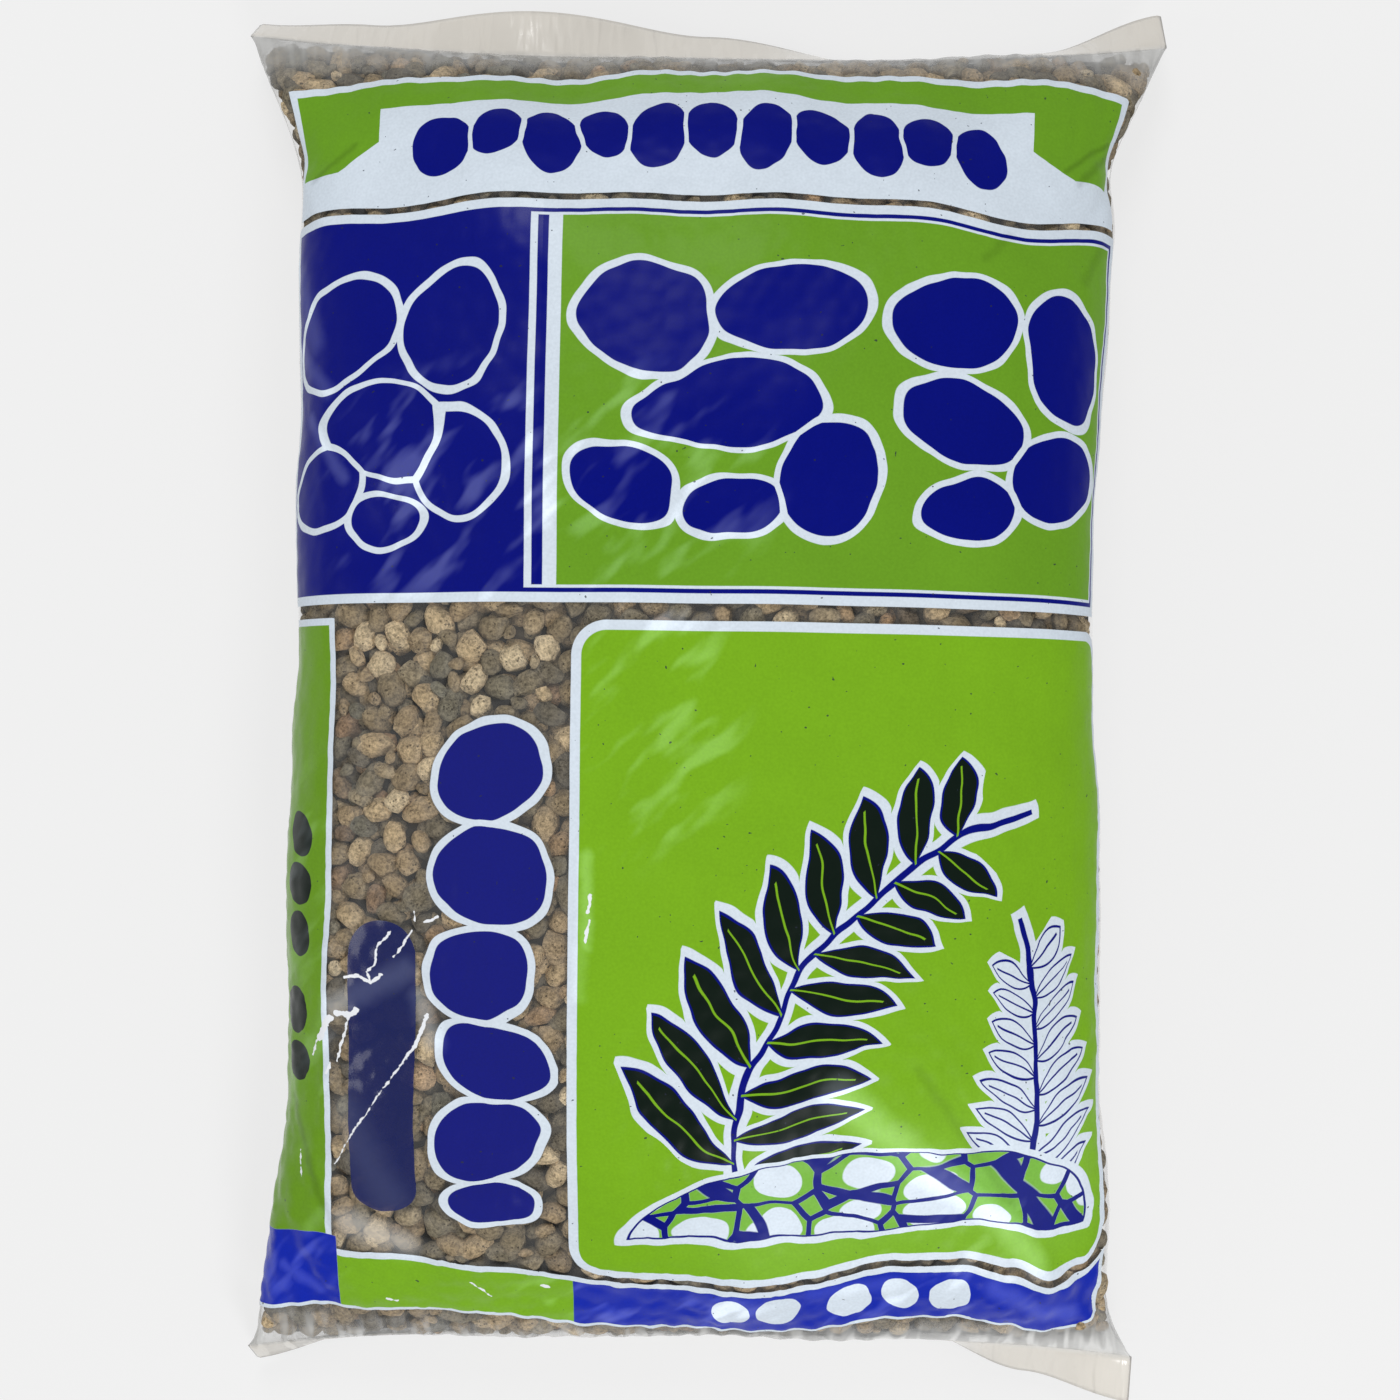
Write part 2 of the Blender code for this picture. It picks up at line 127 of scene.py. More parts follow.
# Shape of one grain, before it is given its size
GRAIN_KINDS = 14
GRAIN_STRETCH = ((1.05, 1.30), (0.78, 0.95), (0.60, 0.78))
MIDDLE_STRETCH = (1.17, 0.86, 0.69)
GRAIN_CHIPS = (4, 8)
CHIP_REACH = (0.68, 0.88)
GRAIN_FILL = 1.14
GRAIN_TILT = 0.30
SHARP_ANGLE = math.radians(38)

# Dark core behind the grains: the grit's depth, coloured as painted shade
CORE_DEPTH = 0.0105
CORE_ROWS = 70
CORE_COLUMNS = 46
CORE_LENGTH = 0.974
CORE_WIDTH = 0.90

# How the film lies on the grains: a grain touches it to the first share of its radius, and not past the last
FILM_SAG = 0.00042
TOUCH = (0.35, 1.10)
CONTACT_SEED = 5
SAG_FADE = 0.006
# Lower down the grains stand out more: where that starts, its length, and the least and the added share
LOWER_START = 0.05
LOWER_LENGTH = 0.30
LEAN_SHARES = (0.30, 0.90)
SAG_SHARES = (0.45, 0.55)


def smooth(share):
    """Ease a share between 0 and 1."""
    return share * share * (3 - 2 * share)


def unit(vectors):
    """The vectors, each with a length of one."""
    return vectors / np.linalg.norm(vectors, axis=-1, keepdims=True)


def eased(places, stops):
    """Smooth values between the stops, each a place and its value."""
    stop_places, values = (np.array(column, dtype=float) for column in zip(*stops))
    places = np.clip(places, stop_places[0], stop_places[-1])
    index = np.clip(np.searchsorted(stop_places, places) - 1, 0, len(values) - 2)
    share = smooth((places - stop_places[index]) / (stop_places[index + 1] - stop_places[index]))
    return values[index] + share * (values[index + 1] - values[index])


def arch(half_width, height, fullness):
    """Superellipse arches, one for each ring, from the left fold over to the right fold."""
    turn = np.linspace(0.0, math.pi, ARCH_POINTS)
    x = -half_width[:, None] * np.sign(np.cos(turn)) * np.abs(np.cos(turn)) ** (2 / fullness)
    z = height[:, None] * np.clip(np.sin(turn), 0, 1) ** (2 / fullness)
    return x, z


def path_length(x, z):
    """Length of each ring's path."""
    return np.hypot(np.diff(x), np.diff(z)).sum(axis=1)


def section(half_width, swell):
    """Upper and lower film of each ring. The floor presses the lower film flat."""
    fold = WELD_HEIGHT + (FOLD_HEIGHT - WELD_HEIGHT) * swell
    upper_x, upper_z = arch(half_width, CROWN_HEIGHT * swell + WELD_SLACK, CROWN_FULLNESS)
    lower_x, lower_z = arch(half_width, UNDER_DEPTH * swell + WELD_SLACK, UNDER_FULLNESS)
    lower_z = np.maximum(fold[:, None] - lower_z, 0.0)
    return upper_x, fold[:, None] + upper_z, lower_x, lower_z


def half_widths(swell):
    """Half width of each ring that keeps the girth of the tube."""
    low = np.full_like(swell, FILM_WIDTH / 8)
    high = np.full_like(swell, FILM_WIDTH / 2)
    for _ in range(40):
        middle = (low + high) / 2
        upper_x, upper_z, lower_x, lower_z = section(middle, swell)
        too_long = path_length(upper_x, upper_z) + path_length(lower_x, lower_z) > 2 * FILM_WIDTH
        high = np.where(too_long, middle, high)
        low = np.where(too_long, low, middle)
    return low


def spread(x, z, shares):
    """Points of each ring at the given shares of its path."""
    rings = []
    for ring_x, ring_z in zip(x, z):
        path = np.concatenate(([0.0], np.cumsum(np.hypot(np.diff(ring_x), np.diff(ring_z)))))
        places = shares * path[-1]
        rings.append(np.column_stack((np.interp(places, path, ring_x), np.interp(places, path, ring_z))))
    return np.array(rings)


def corner_bow(shares):
    """How far the weld curves out towards the corners."""
    return CORNER_REACH * np.abs(2 * shares - 1) ** 3


def gather(shares, from_weld):
    """Depth of the shallow pleats that run in from a weld."""
    reach = from_weld / GATHER_REACH
    wave = 0.5 - 0.5 * np.cos(2 * math.pi * shares * FILM_WIDTH / GATHER_PITCH)
    return GATHER_DEPTH * wave * reach * np.exp(1 - reach)


def pinch(shares, eta):
    """Inward move of the long sides at the pinches, as a signed change in X."""
    move = np.zeros((len(eta), len(shares)))
    for side, end, from_weld, length, depth in PINCHES:
        along = (end * (FILLED_LENGTH / 2 - from_weld) - eta * FILLED_LENGTH / 2) / length
        near_side = np.clip(side * (2 * shares - 1), 0, 1) ** 4
        move -= side * depth * np.exp(-along ** 2)[:, None] * near_side[None, :]
    return move


def pillow(shares):
    """The filled form, as front and back grids of points: rings along Y, shares of the width across."""
    eta = np.sin(np.linspace(-math.pi / 2, math.pi / 2, FORM_RINGS))
    swell = (1 - np.abs(eta) ** END_FULLNESS) ** END_SLOPE
    upper_x, upper_z, lower_x, lower_z = section(half_widths(swell), swell)
    bow = corner_bow(shares)[None, :] * (np.sign(eta) * eta ** 4)[:, None]
    y = (eta * FILLED_LENGTH / 2)[:, None] + bow
    pleats = gather(shares[None, :], (FILLED_LENGTH / 2 * (1 - np.abs(eta)))[:, None])
    grids = []
    for x, z, inward in ((upper_x, upper_z, -1), (lower_x, lower_z, 1)):
        points = spread(x, z, shares)
        depth = pleats * np.sin(math.pi * shares)[None, :] ** 0.5
        height = np.maximum(points[:, :, 1] + inward * depth, 0.0)
        grids.append(np.dstack((points[:, :, 0] + pinch(shares, eta), y, height)))
    return grids


def lay_out(grid, along):
    """Rows of the film at the given places between the welds, from -1 to 1. Film lies evenly along."""
    steps = np.linalg.norm(np.diff(grid, axis=0), axis=2)
    path = np.vstack((np.zeros(grid.shape[1]), np.cumsum(steps, axis=0)))
    path = 2 * path / path[-1] - 1
    rows = np.zeros((len(along), grid.shape[1], 3))
    for column in range(grid.shape[1]):
        for axis in range(3):
            rows[:, column, axis] = np.interp(along, path[:, column], grid[:, column, axis])
    return rows


def film_length():
    """Length of the film between the welds, along the middle of the front."""
    upper, _ = pillow(np.array([0.0, 0.5, 1.0]))
    return np.linalg.norm(np.diff(upper[:, 1], axis=0), axis=1).sum()


def flap_rows(shares, end, distances):
    """Front and back rows of a flap, at the distances from its weld."""
    droop = np.radians(eased(2 * shares - 1, TOP_DROOP if end > 0 else BOTTOM_DROOP))
    lowest = (WELD_HEIGHT - FLAP_CLEARANCE) / FLAP_LENGTH
    droop = np.minimum(droop, math.asin(min(1.0, lowest)))[None, :]
    out = distances[:, None]
    shape = (len(distances), len(shares))
    middle = np.dstack((
        np.broadcast_to((shares - 0.5) * FILM_WIDTH + pinch(shares, np.array([end])), shape),
        end * (FILLED_LENGTH / 2 + corner_bow(shares)[None, :] + out * np.cos(droop)),
        WELD_HEIGHT - out * np.sin(droop),
    ))
    gap = np.full(shape, FLAP_GAP / 2)
    gap[:, [0, -1]] = 0.0
    lean = np.dstack((
        np.zeros_like(gap),
        np.broadcast_to(end * np.sin(droop), gap.shape),
        np.broadcast_to(np.cos(droop), gap.shape),
    )) * gap[:, :, None]
    return middle + lean, middle - lean


# Broad hollows and bulges in the film: place across and along, size and height, all in millimetres
HOLLOWS = (
    (-188, 238, 15, 20, -2.4), (186, 236, 13, 16, -2.6), (-60, 262, 40, 14, -1.0), (90, 258, 34, 13, -1.2),
    (196, 40, 20, 60, -2.0), (-40, -262, 46, 14, -1.4), (120, -256, 30, 16, 2.4), (60, -236, 34, 18, -1.2),
    (-122, -262, 24, 14, 1.8), (-150, -80, 30, 60, 1.2),
)
# Ridges in the film: both ends across and along, width and height, all in millimetres
RIDGES = (
    (184, 236, 140, 214, 5.0, 1.3), (186, 232, 158, 196, 4.0, -1.2), (178, 244, 132, 232, 6.0, -0.8),
    (-190, 240, -150, 226, 6.0, -1.2), (-186, 232, -160, 196, 5.0, 0.9),
    (70, -150, 140, -232, 7.0, 1.0), (96, -170, 168, -244, 5.0, 0.9), (150, -226, 196, -290, 6.0, -2.2),
    (132, -246, 190, -262, 5.0, 1.6), (164, -262, 200, -300, 4.0, 1.6),
    (-178, -150, -140, -262, 7.0, 1.0), (-196, -210, -150, -280, 6.0, -1.4),
    (-140, 20, -176, 170, 10.0, 0.7), (-100, 60, -150, 190, 8.0, -0.6), (-45, 20, -44, -120, 4.0, 0.7),
    (-150, -96, -158, -190, 4.0, 0.9), (-120, -130, -96, -196, 4.0, 0.7), (0, 60, 46, 190, 12.0, -0.5),
    (120, 60, 172, 150, 9.0, 0.7), (-20, 40, 60, 20, 9.0, -0.5),
)
SWELLS = 14
SWELL_SEED = 3
SWELL_LENGTHS = (0.045, 0.130)
SWELL_HEIGHT = 0.00022
RIPPLE_HEIGHT = 0.0011
RIPPLE_PITCH = 0.0125
RIPPLE_REACH = 0.022
# Where the relief fades: beside the welds, beyond the side folds, and its share that is left behind
WELD_FADE = 0.012
FOLD_FADE = 0.020
BACK_SHARE = 0.25
FACET_TILT = 0.038


def spacing(count, crowding):
    """Places from -1 to 1 that crowd together towards both ends."""
    even = np.linspace(-1, 1, count)
    return (1 - crowding) * even + crowding * np.sin(even * math.pi / 2)


def around(across):
    """Shares of the width for places across the film, and which of them lie behind."""
    behind = np.abs(across) > FILM_WIDTH / 2
    folded = np.where(behind, np.sign(across) * (FILM_WIDTH - np.abs(across)), across)
    return folded / FILM_WIDTH + 0.5, behind


class Film:
    """The film as a grid of points and normals, which can be read at any place on it."""

    def __init__(self):
        self.length = film_length()
        half = FILM_WIDTH / 2
        front = np.linspace(-half, half, FRONT_COLUMNS + 1)
        back = np.linspace(half, 2 * half, BACK_COLUMNS // 2 + 1)
        self.across = np.concatenate((-back[:0:-1], front, back[1:]))
        out = np.linspace(0, FLAP_LENGTH, FLAP_ROWS + 1)[1:]
        body = spacing(BODY_ROWS, 0.35)
        self.along = np.concatenate((
            -self.length / 2 - out[::-1], body * self.length / 2, self.length / 2 + out))
        shares, behind = around(self.across)
        upper, lower = (lay_out(grid, body) for grid in pillow(np.unique(shares)))
        order = np.searchsorted(np.unique(shares), shares)
        rows = []
        for part in (0, 1):
            bottom = flap_rows(np.unique(shares), -1, out)[part][::-1]
            top = flap_rows(np.unique(shares), 1, out)[part]
            rows.append(np.concatenate((bottom, (upper, lower)[part], top)))
        self.points = np.where(behind[None, :, None], rows[1][:, order], rows[0][:, order])
        self.thickness = np.linalg.norm(rows[0][:, order] - rows[1][:, order], axis=2)
        self.aim()

    def settle(self, low, high):
        """Lay the film over the middle of the box that the modelled sack fills."""
        own = (self.points.min(axis=(0, 1)) + self.points.max(axis=(0, 1))) / 2
        middle = (np.array(low) + np.array(high)) / 2
        self.points[:, :, :2] += (middle - own)[:2]

    def aim(self):
        """Work out the normals, which point out of the sack."""
        ring = self.points[:, :-1]
        right = np.roll(ring, -1, axis=1) - np.roll(ring, 1, axis=1)
        normals = unit(np.cross(right, np.gradient(ring, axis=0)))
        self.normals = np.concatenate((normals, normals[:, :1]), axis=1)

    def push(self, height):
        """Move every point out along its normal."""
        height = height.copy()
        height[:, -1] = height[:, 0]
        self.points = self.points + self.normals * height[:, :, None]
        self.points[:, :, 2] = np.maximum(self.points[:, :, 2], 0.0)
        self.aim()

    def at(self, field, across, along):
        """Values of a grid at places on the film."""
        column = np.clip(np.searchsorted(self.across, across) - 1, 0, len(self.across) - 2)
        row = np.clip(np.searchsorted(self.along, along) - 1, 0, len(self.along) - 2)
        u = (across - self.across[column]) / (self.across[column + 1] - self.across[column])
        v = (along - self.along[row]) / (self.along[row + 1] - self.along[row])
        if field.ndim == 3:
            u, v = u[:, None], v[:, None]
        low = field[row, column] * (1 - u) + field[row, column + 1] * u
        high = field[row + 1, column] * (1 - u) + field[row + 1, column + 1] * u
        return low * (1 - v) + high * v

    def room(self, across, along, radius):
        """How thick the sack is under a grain, measured a little in from the side folds."""
        inward = np.where(np.abs(across) < FILM_WIDTH / 2, -FOLD_INSET, FOLD_INSET) * radius
        inner = np.sign(across) * np.clip(np.abs(across) + inward, 0, FILM_WIDTH)
        return self.at(self.thickness, inner, along)

    def holds(self, across, along, radius):
        """True where the sack holds a grain of this radius."""
        empty = EMPTY_END + EMPTY_LOWER * np.clip((across - LOWER_FROM) / LOWER_SPAN, 0, 1) * (along < 0)
        from_fold = np.abs(np.abs(across) - FILM_WIDTH / 2)
        empty += EMPTY_CORNER * np.clip((CORNER_SPAN - from_fold) / CORNER_SPAN, 0, 1)
        in_length = np.abs(along) < self.length / 2 - radius * 1.1 - empty
        return in_length & (self.room(across, along, radius) > radius * FRONT_ROOM)


def broad_relief(film):
    """Hollows, ridges, slow swells and the ripples beside the welds, as heights in metres."""
    across, along = np.meshgrid(film.across, film.along)
    height = np.zeros_like(across)
    for place_across, place_along, wide, long, rise in HOLLOWS:
        far = ((across / MM - place_across) / wide) ** 2 + ((along / MM - place_along) / long) ** 2
        height += rise * MM * np.exp(-far)
    for start_across, start_along, end_across, end_along, width, rise in RIDGES:
        run = np.array((end_across - start_across, end_along - start_along), dtype=float)
        offset = np.dstack((across / MM - start_across, along / MM - start_along))
        share = np.clip(offset @ run / (run @ run), 0, 1)
        aside = np.linalg.norm(offset - share[:, :, None] * run, axis=2)
        fade = np.sin(math.pi * np.clip(share, 0.04, 0.96)) ** 0.6
        height += rise * MM * fade * np.exp(-(aside / width) ** 2)
    rng = np.random.default_rng(SWELL_SEED)
    for _ in range(SWELLS):
        length = rng.uniform(*SWELL_LENGTHS)
        turn, phase = rng.uniform(0, 2 * math.pi, 2)
        place = (across * math.cos(turn) + along * math.sin(turn)) / length
        height += SWELL_HEIGHT * (length / SWELL_LENGTHS[0]) ** 0.5 * np.sin(2 * math.pi * place + phase)
    from_weld = film.length / 2 - np.abs(along)
    phase = 2 * math.pi * across / RIPPLE_PITCH + 1.7 * np.sin(across / 0.027) + 1.1 * np.sin(across / 0.0113)
    reach = np.clip(from_weld / RIPPLE_REACH, 0, None)
    height += RIPPLE_HEIGHT * np.sin(phase) * reach * np.exp(1 - reach * 1.4) * 0.5
    body = np.clip(from_weld / WELD_FADE, 0, 1)
    front = np.clip((FILM_WIDTH / 2 + FOLD_FADE - np.abs(across)) / FOLD_FADE, 0, 1)
    return height * body * (BACK_SHARE + (1 - BACK_SHARE) * front)


def scatter(film, seed, radii, tries, gap, allowed):
    """Places and radii of grains thrown on the film, the large ones first, none on top of another."""
    rng = np.random.default_rng(seed)
    share = np.linspace(0, 1, tries) ** 0.8
    radius = radii[0] + (radii[1] - radii[0]) * share
    across = rng.uniform(-FILM_WIDTH, FILM_WIDTH, tries)
    along = rng.uniform(-film.length / 2, film.length / 2, tries)
    keep = allowed(across, along, radius)
    radius, across, along = radius[keep], across[keep], along[keep]
    cell = 2 * radii[0]
    cells = {}
    kept = []
    for k, (r, a, b) in enumerate(zip(radius, across, along)):
        i, j = int(a // cell), int(b // cell)
        near = (n for di in (-1, 0, 1) for dj in (-1, 0, 1) for n in cells.get((i + di, j + dj), ()))
        if all((a - x) ** 2 + (b - y) ** 2 > (gap * (r + s)) ** 2 for x, y, s in near):
            cells.setdefault((i, j), []).append((a, b, r))
            kept.append(k)
    return across[kept], along[kept], radius[kept]


def grain_contact(film, grains, rng):
    """Sag of the film between the grains, more of it lower down, and how closely it touches them."""
    across, along, radius = grains
    tree = KDTree(len(radius))
    for k in range(len(radius)):
        tree.insert((across[k], along[k], 0.0), k)
    tree.balance()
    tilt = rng.normal(0, FACET_TILT, (len(radius), 2))
    places = [(a, b, 0.0) for b in film.along for a in film.across]
    nearest = np.array([tree.find(place)[1] for place in places])
    grid = np.array(places)[:, :2]
    offset = grid - np.column_stack((across, along))[nearest]
    far = np.linalg.norm(offset, axis=1) / radius[nearest]
    touch = smooth(1 - np.clip((far - TOUCH[0]) / (TOUCH[1] - TOUCH[0]), 0, 1))
    lean = (offset * tilt[nearest]).sum(axis=1) * touch
    shape = (len(film.along), len(film.across))
    from_weld = film.length / 2 - np.abs(grid[:, 1])
    body = np.clip(from_weld / SAG_FADE, 0, 1)
    lower = np.clip((LOWER_START - grid[:, 1]) / LOWER_LENGTH, 0, 1)
    lean_share, sag_share = (least + added * lower for least, added in (LEAN_SHARES, SAG_SHARES))
    height = (lean * lean_share - FILM_SAG * (1 - touch) * sag_share) * body
    return height.reshape(shape), (touch * body).reshape(shape)


# Print, in millimetres across and along the film
TOP_BAND = (-184.0, 184.0, 204.2, 273.0)
RIBBON_EDGE = 253.5
RIBBON_TAIL = 223.0
FIELD_HALF = 138.0
TAIL_SLANT = 0.65
TAIL_RUN = 20.0
TITLE = (-187.0, 187.0, 36.7, 201.3)
TITLE_LEAN = 0.05
TITLE_SPLIT = -70.5
SIDE_BAND = (-201.0, -152.0, -242.0, 30.9)
PICTURE = (-51.0, 183.0, -242.5, 29.8)
PICTURE_CORNER = 14.0
BOTTOM_BAND = (-201.0, 184.0, -279.0, -246.0)
BOTTOM_CHECKS = (-150.0, -50.0)
CHECK_TOP = -239.0
BORDER = 4.0
SIDE_BORDER = 3.0
EDGE = 0.25

# Regions of the film, split in the clear gaps of the print: left, right, low, high
REGIONS = {
    "top": (-206, 206, 202.75, 283),
    "title_left": (-206, -66, 33.8, 202.75),
    "title_right": (-66, 206, 33.8, 202.75),
    "side": (-244, -147, -285, 33.8),
    "window": (-147, -54.5, -244.2, 33.8),
    "picture": (-54.5, 206, -244.2, 33.8),
    "bottom": (-147, 206, -285, -244.2),
}

# How far the print near each end is carried along the sack by the gathered film, in millimetres
TOP_CARRY = ((-200, -3.0), (-156, -4.5), (-118, -2.0), (-62, 0.5), (-2, 6.0), (60, 3.0), (124, 0.2),
             (200, -2.0))
TITLE_CARRY = ((-200, 3.0), (-168, 3.0), (-130, -1.5), (-90, 0.0), (90, 0.0), (132, -4.4), (176, 3.8),
               (200, 4.5))
BOTTOM_CARRY = ((-200, -4.0), (-150, 7.0), (-122, 8.0), (-86, 6.0), (-44, -3.0), (4, -6.0), (50, -4.0),
                (86, 8.0), (112, 7.5), (134, 2.0), (154, -7.0), (170, -5.0), (184, 3.0), (200, 5.0))


def print_carry(across, along):
    """How far the print has moved along the film, in metres."""
    a, b = across / MM, along / MM
    top = np.clip((b - 204) / 62, 0, 1)
    title = np.clip((b - 130) / 60, 0, 1) * (1 - top)
    bottom = np.clip((-b - 190) / 55, 0, 1)
    carry = smooth(top) * eased(a, TOP_CARRY) + smooth(title) * eased(a, TITLE_CARRY)
    return MM * (carry + smooth(bottom) * eased(a, BOTTOM_CARRY))


def printed(across, along, margin):
    """True where the film is printed, at least the margin away from clear film."""
    a, b = across / MM, (along - print_carry(across, along)) / MM
    held = margin / MM
    covered = np.zeros(len(a), dtype=bool)
    for left, right, low, high in (TOP_BAND, TITLE, SIDE_BAND, PICTURE, BOTTOM_BAND):
        covered |= (left + held < a) & (a < right - held) & (low + held < b) & (b < high - held)
    return covered


def linked(name, data):
    """A new object in the scene."""
    made = bpy.data.objects.new(name, data)
    bpy.context.scene.collection.objects.link(made)
    return made


def mesh_object(name, points, faces):
    """A smooth mesh of triangles or quads, made in one go."""
    mesh = bpy.data.meshes.new(name)
    faces = np.asarray(faces, dtype=np.int32)
    mesh.vertices.add(len(points))
    mesh.vertices.foreach_set("co", np.asarray(points, dtype=np.float32).ravel())
    mesh.loops.add(faces.size)
    mesh.loops.foreach_set("vertex_index", faces.ravel())
    mesh.polygons.add(len(faces))
    mesh.polygons.foreach_set("loop_start", np.arange(0, faces.size, faces.shape[1], dtype=np.int32))
    mesh.update(calc_edges=True)
    mesh.shade_smooth()
    return linked(name, mesh)


def give(mesh, name, values):
    """Give a mesh a number at each point, under a name that its material reads."""
    layer = mesh.attributes.new(name, "FLOAT", "POINT")
    layer.data.foreach_set("value", np.asarray(values, dtype=np.float32).ravel())


def ring_quads(index):
    """Quads between the rings of a closed skin, whose points are numbered by ring and place."""
    beside = np.roll(index, -1, axis=1)
    return np.dstack((index[:-1], beside[:-1], beside[1:], index[1:])).reshape(-1, 4)


def film_piece(film, touch):
    """The film as one closed skin, with its flat places as a UV map and a finish for each region."""
    rows, columns = len(film.along), len(film.across) - 1
    index = np.arange(rows * columns).reshape(rows, columns)
    shape = (rows - 1, columns)
    across = np.dstack([np.broadcast_to(film.across[k:columns + k], shape) for k in (0, 1, 1, 0)])
    along = np.dstack([np.broadcast_to(film.along[k:rows - 1 + k][:, None], shape) for k in (0, 0, 1, 1)])
    piece = mesh_object("film", film.points[:, :-1].reshape(-1, 3), ring_quads(index))
    layer = piece.data.uv_layers.new(name="flat_film")
    carried = along - print_carry(across, along)
    layer.uv.foreach_set("vector", np.dstack((across.ravel(), carried.ravel())).astype(np.float32).ravel())
    from_weld = film.length / 2 - np.abs(film.along)
    give(piece.data, "touch", touch[:, :-1])
    give(piece.data, "from_weld", np.broadcast_to(from_weld[:, None], index.shape))
    clear = film_surface(Print("clear_film"), *CLEAR_GLOSS)
    for finish in (clear, *(printed_finish(name) for name in REGIONS)):
        piece.data.materials.append(finish)
    a, b = across.mean(axis=2).ravel() / MM, carried.mean(axis=2).ravel() / MM
    region = np.zeros(len(a), dtype=np.int32)
    for k, (left, right, low, high) in enumerate(REGIONS.values()):
        region[(left < a) & (a < right) & (low < b) & (b < high)] = k + 1
    piece.data.polygons.foreach_set("material_index", region)
    close_mouths(piece, index)
    return piece


def close_mouths(piece, index):
    """Close the tip of each flap, where the two films cling together."""
    bm = bmesh.new()
    bm.from_mesh(piece.data)
    bm.verts.ensure_lookup_table()
    layer = bm.loops.layers.uv["flat_film"]
    for ring, flip in ((index[0], True), (index[-1], False)):
        for corners in mouth_faces(ring, BACK_COLUMNS):
            face = bm.faces.new([bm.verts[i] for i in (corners[::-1] if flip else corners)])
            face.smooth = True
            for loop in face.loops:
                donor = next(other for other in loop.vert.link_loops if other.face is not face)
                loop[layer].uv = donor[layer].uv
    bm.to_mesh(piece.data)
    bm.free()


def mouth_faces(ring, columns):
    """Triangles between the front and the back film at a flap's tip, from fold to fold."""
    fold = columns // 2
    front = list(ring[fold:fold + FRONT_COLUMNS + 1])
    back = [*ring[:fold + 1][::-1], *ring[fold + FRONT_COLUMNS:][::-1]]
    i = j = 0
    faces = []
    while i < len(front) - 1 or j < len(back) - 1:
        front_first = (i + 1) / (len(front) - 1) <= (j + 1) / (len(back) - 1)
        if j == len(back) - 1 or (front_first and i < len(front) - 1):
            faces.append((front[i], front[i + 1], back[j]))
            i += 1
        else:
            faces.append((front[i], back[j + 1], back[j]))
            j += 1
    return [face for face in faces if len(set(face)) == 3]


def grain_kinds():
    """A few irregular pebbles with chipped sides, each about one unit in radius."""
    rng = np.random.default_rng(GRAIN_SEED)
    kinds = []
    for _ in range(GRAIN_KINDS):
        bpy.ops.object.select_all(action="DESELECT")
        bpy.ops.mesh.primitive_ico_sphere_add(subdivisions=2, radius=1)
        pebble = bpy.context.object
        bpy.ops.object.mode_set(mode="EDIT")
        bpy.ops.transform.resize(value=[rng.uniform(*stretch) for stretch in GRAIN_STRETCH])
        for _ in range(rng.integers(*GRAIN_CHIPS)):
            facing = Vector(rng.normal(0, 1, 3)).normalized()
            bpy.ops.mesh.select_all(action="SELECT")
            reach = max(facing.dot(vertex.co * Vector(MIDDLE_STRETCH)) for vertex in pebble.data.vertices)
            bpy.ops.mesh.bisect(plane_co=facing * reach * rng.uniform(*CHIP_REACH), plane_no=facing,
                                use_fill=True, clear_outer=True)
        bpy.ops.mesh.select_all(action="SELECT")
        bpy.ops.mesh.quads_convert_to_tris()
        bpy.ops.mesh.vertices_smooth(factor=0.10, repeat=1)
        bpy.ops.object.mode_set(mode="OBJECT")
        points = np.array([vertex.co for vertex in pebble.data.vertices])
        lumps = rng.normal(0, 1, (3, 3)) * 1.6
        for lump in lumps:
            points *= (1 + 0.06 * np.sin(points @ lump + lump[0] * 3))[:, None]
        faces = np.array([face.vertices for face in pebble.data.polygons])
        kinds.append((points - points.mean(axis=0), faces))
        bpy.data.objects.remove(pebble)
    return kinds


def turned(rng, normals):
    """Turns that lay each grain's flat side near the film, with a free spin about the film's normal."""
    count = len(normals)
    z = unit(normals + rng.normal(0, GRAIN_TILT, (count, 3)))
    x = unit(np.cross(z, rng.normal(0, 1, (count, 3))))
    return np.stack((x, np.cross(z, x), z), axis=2)


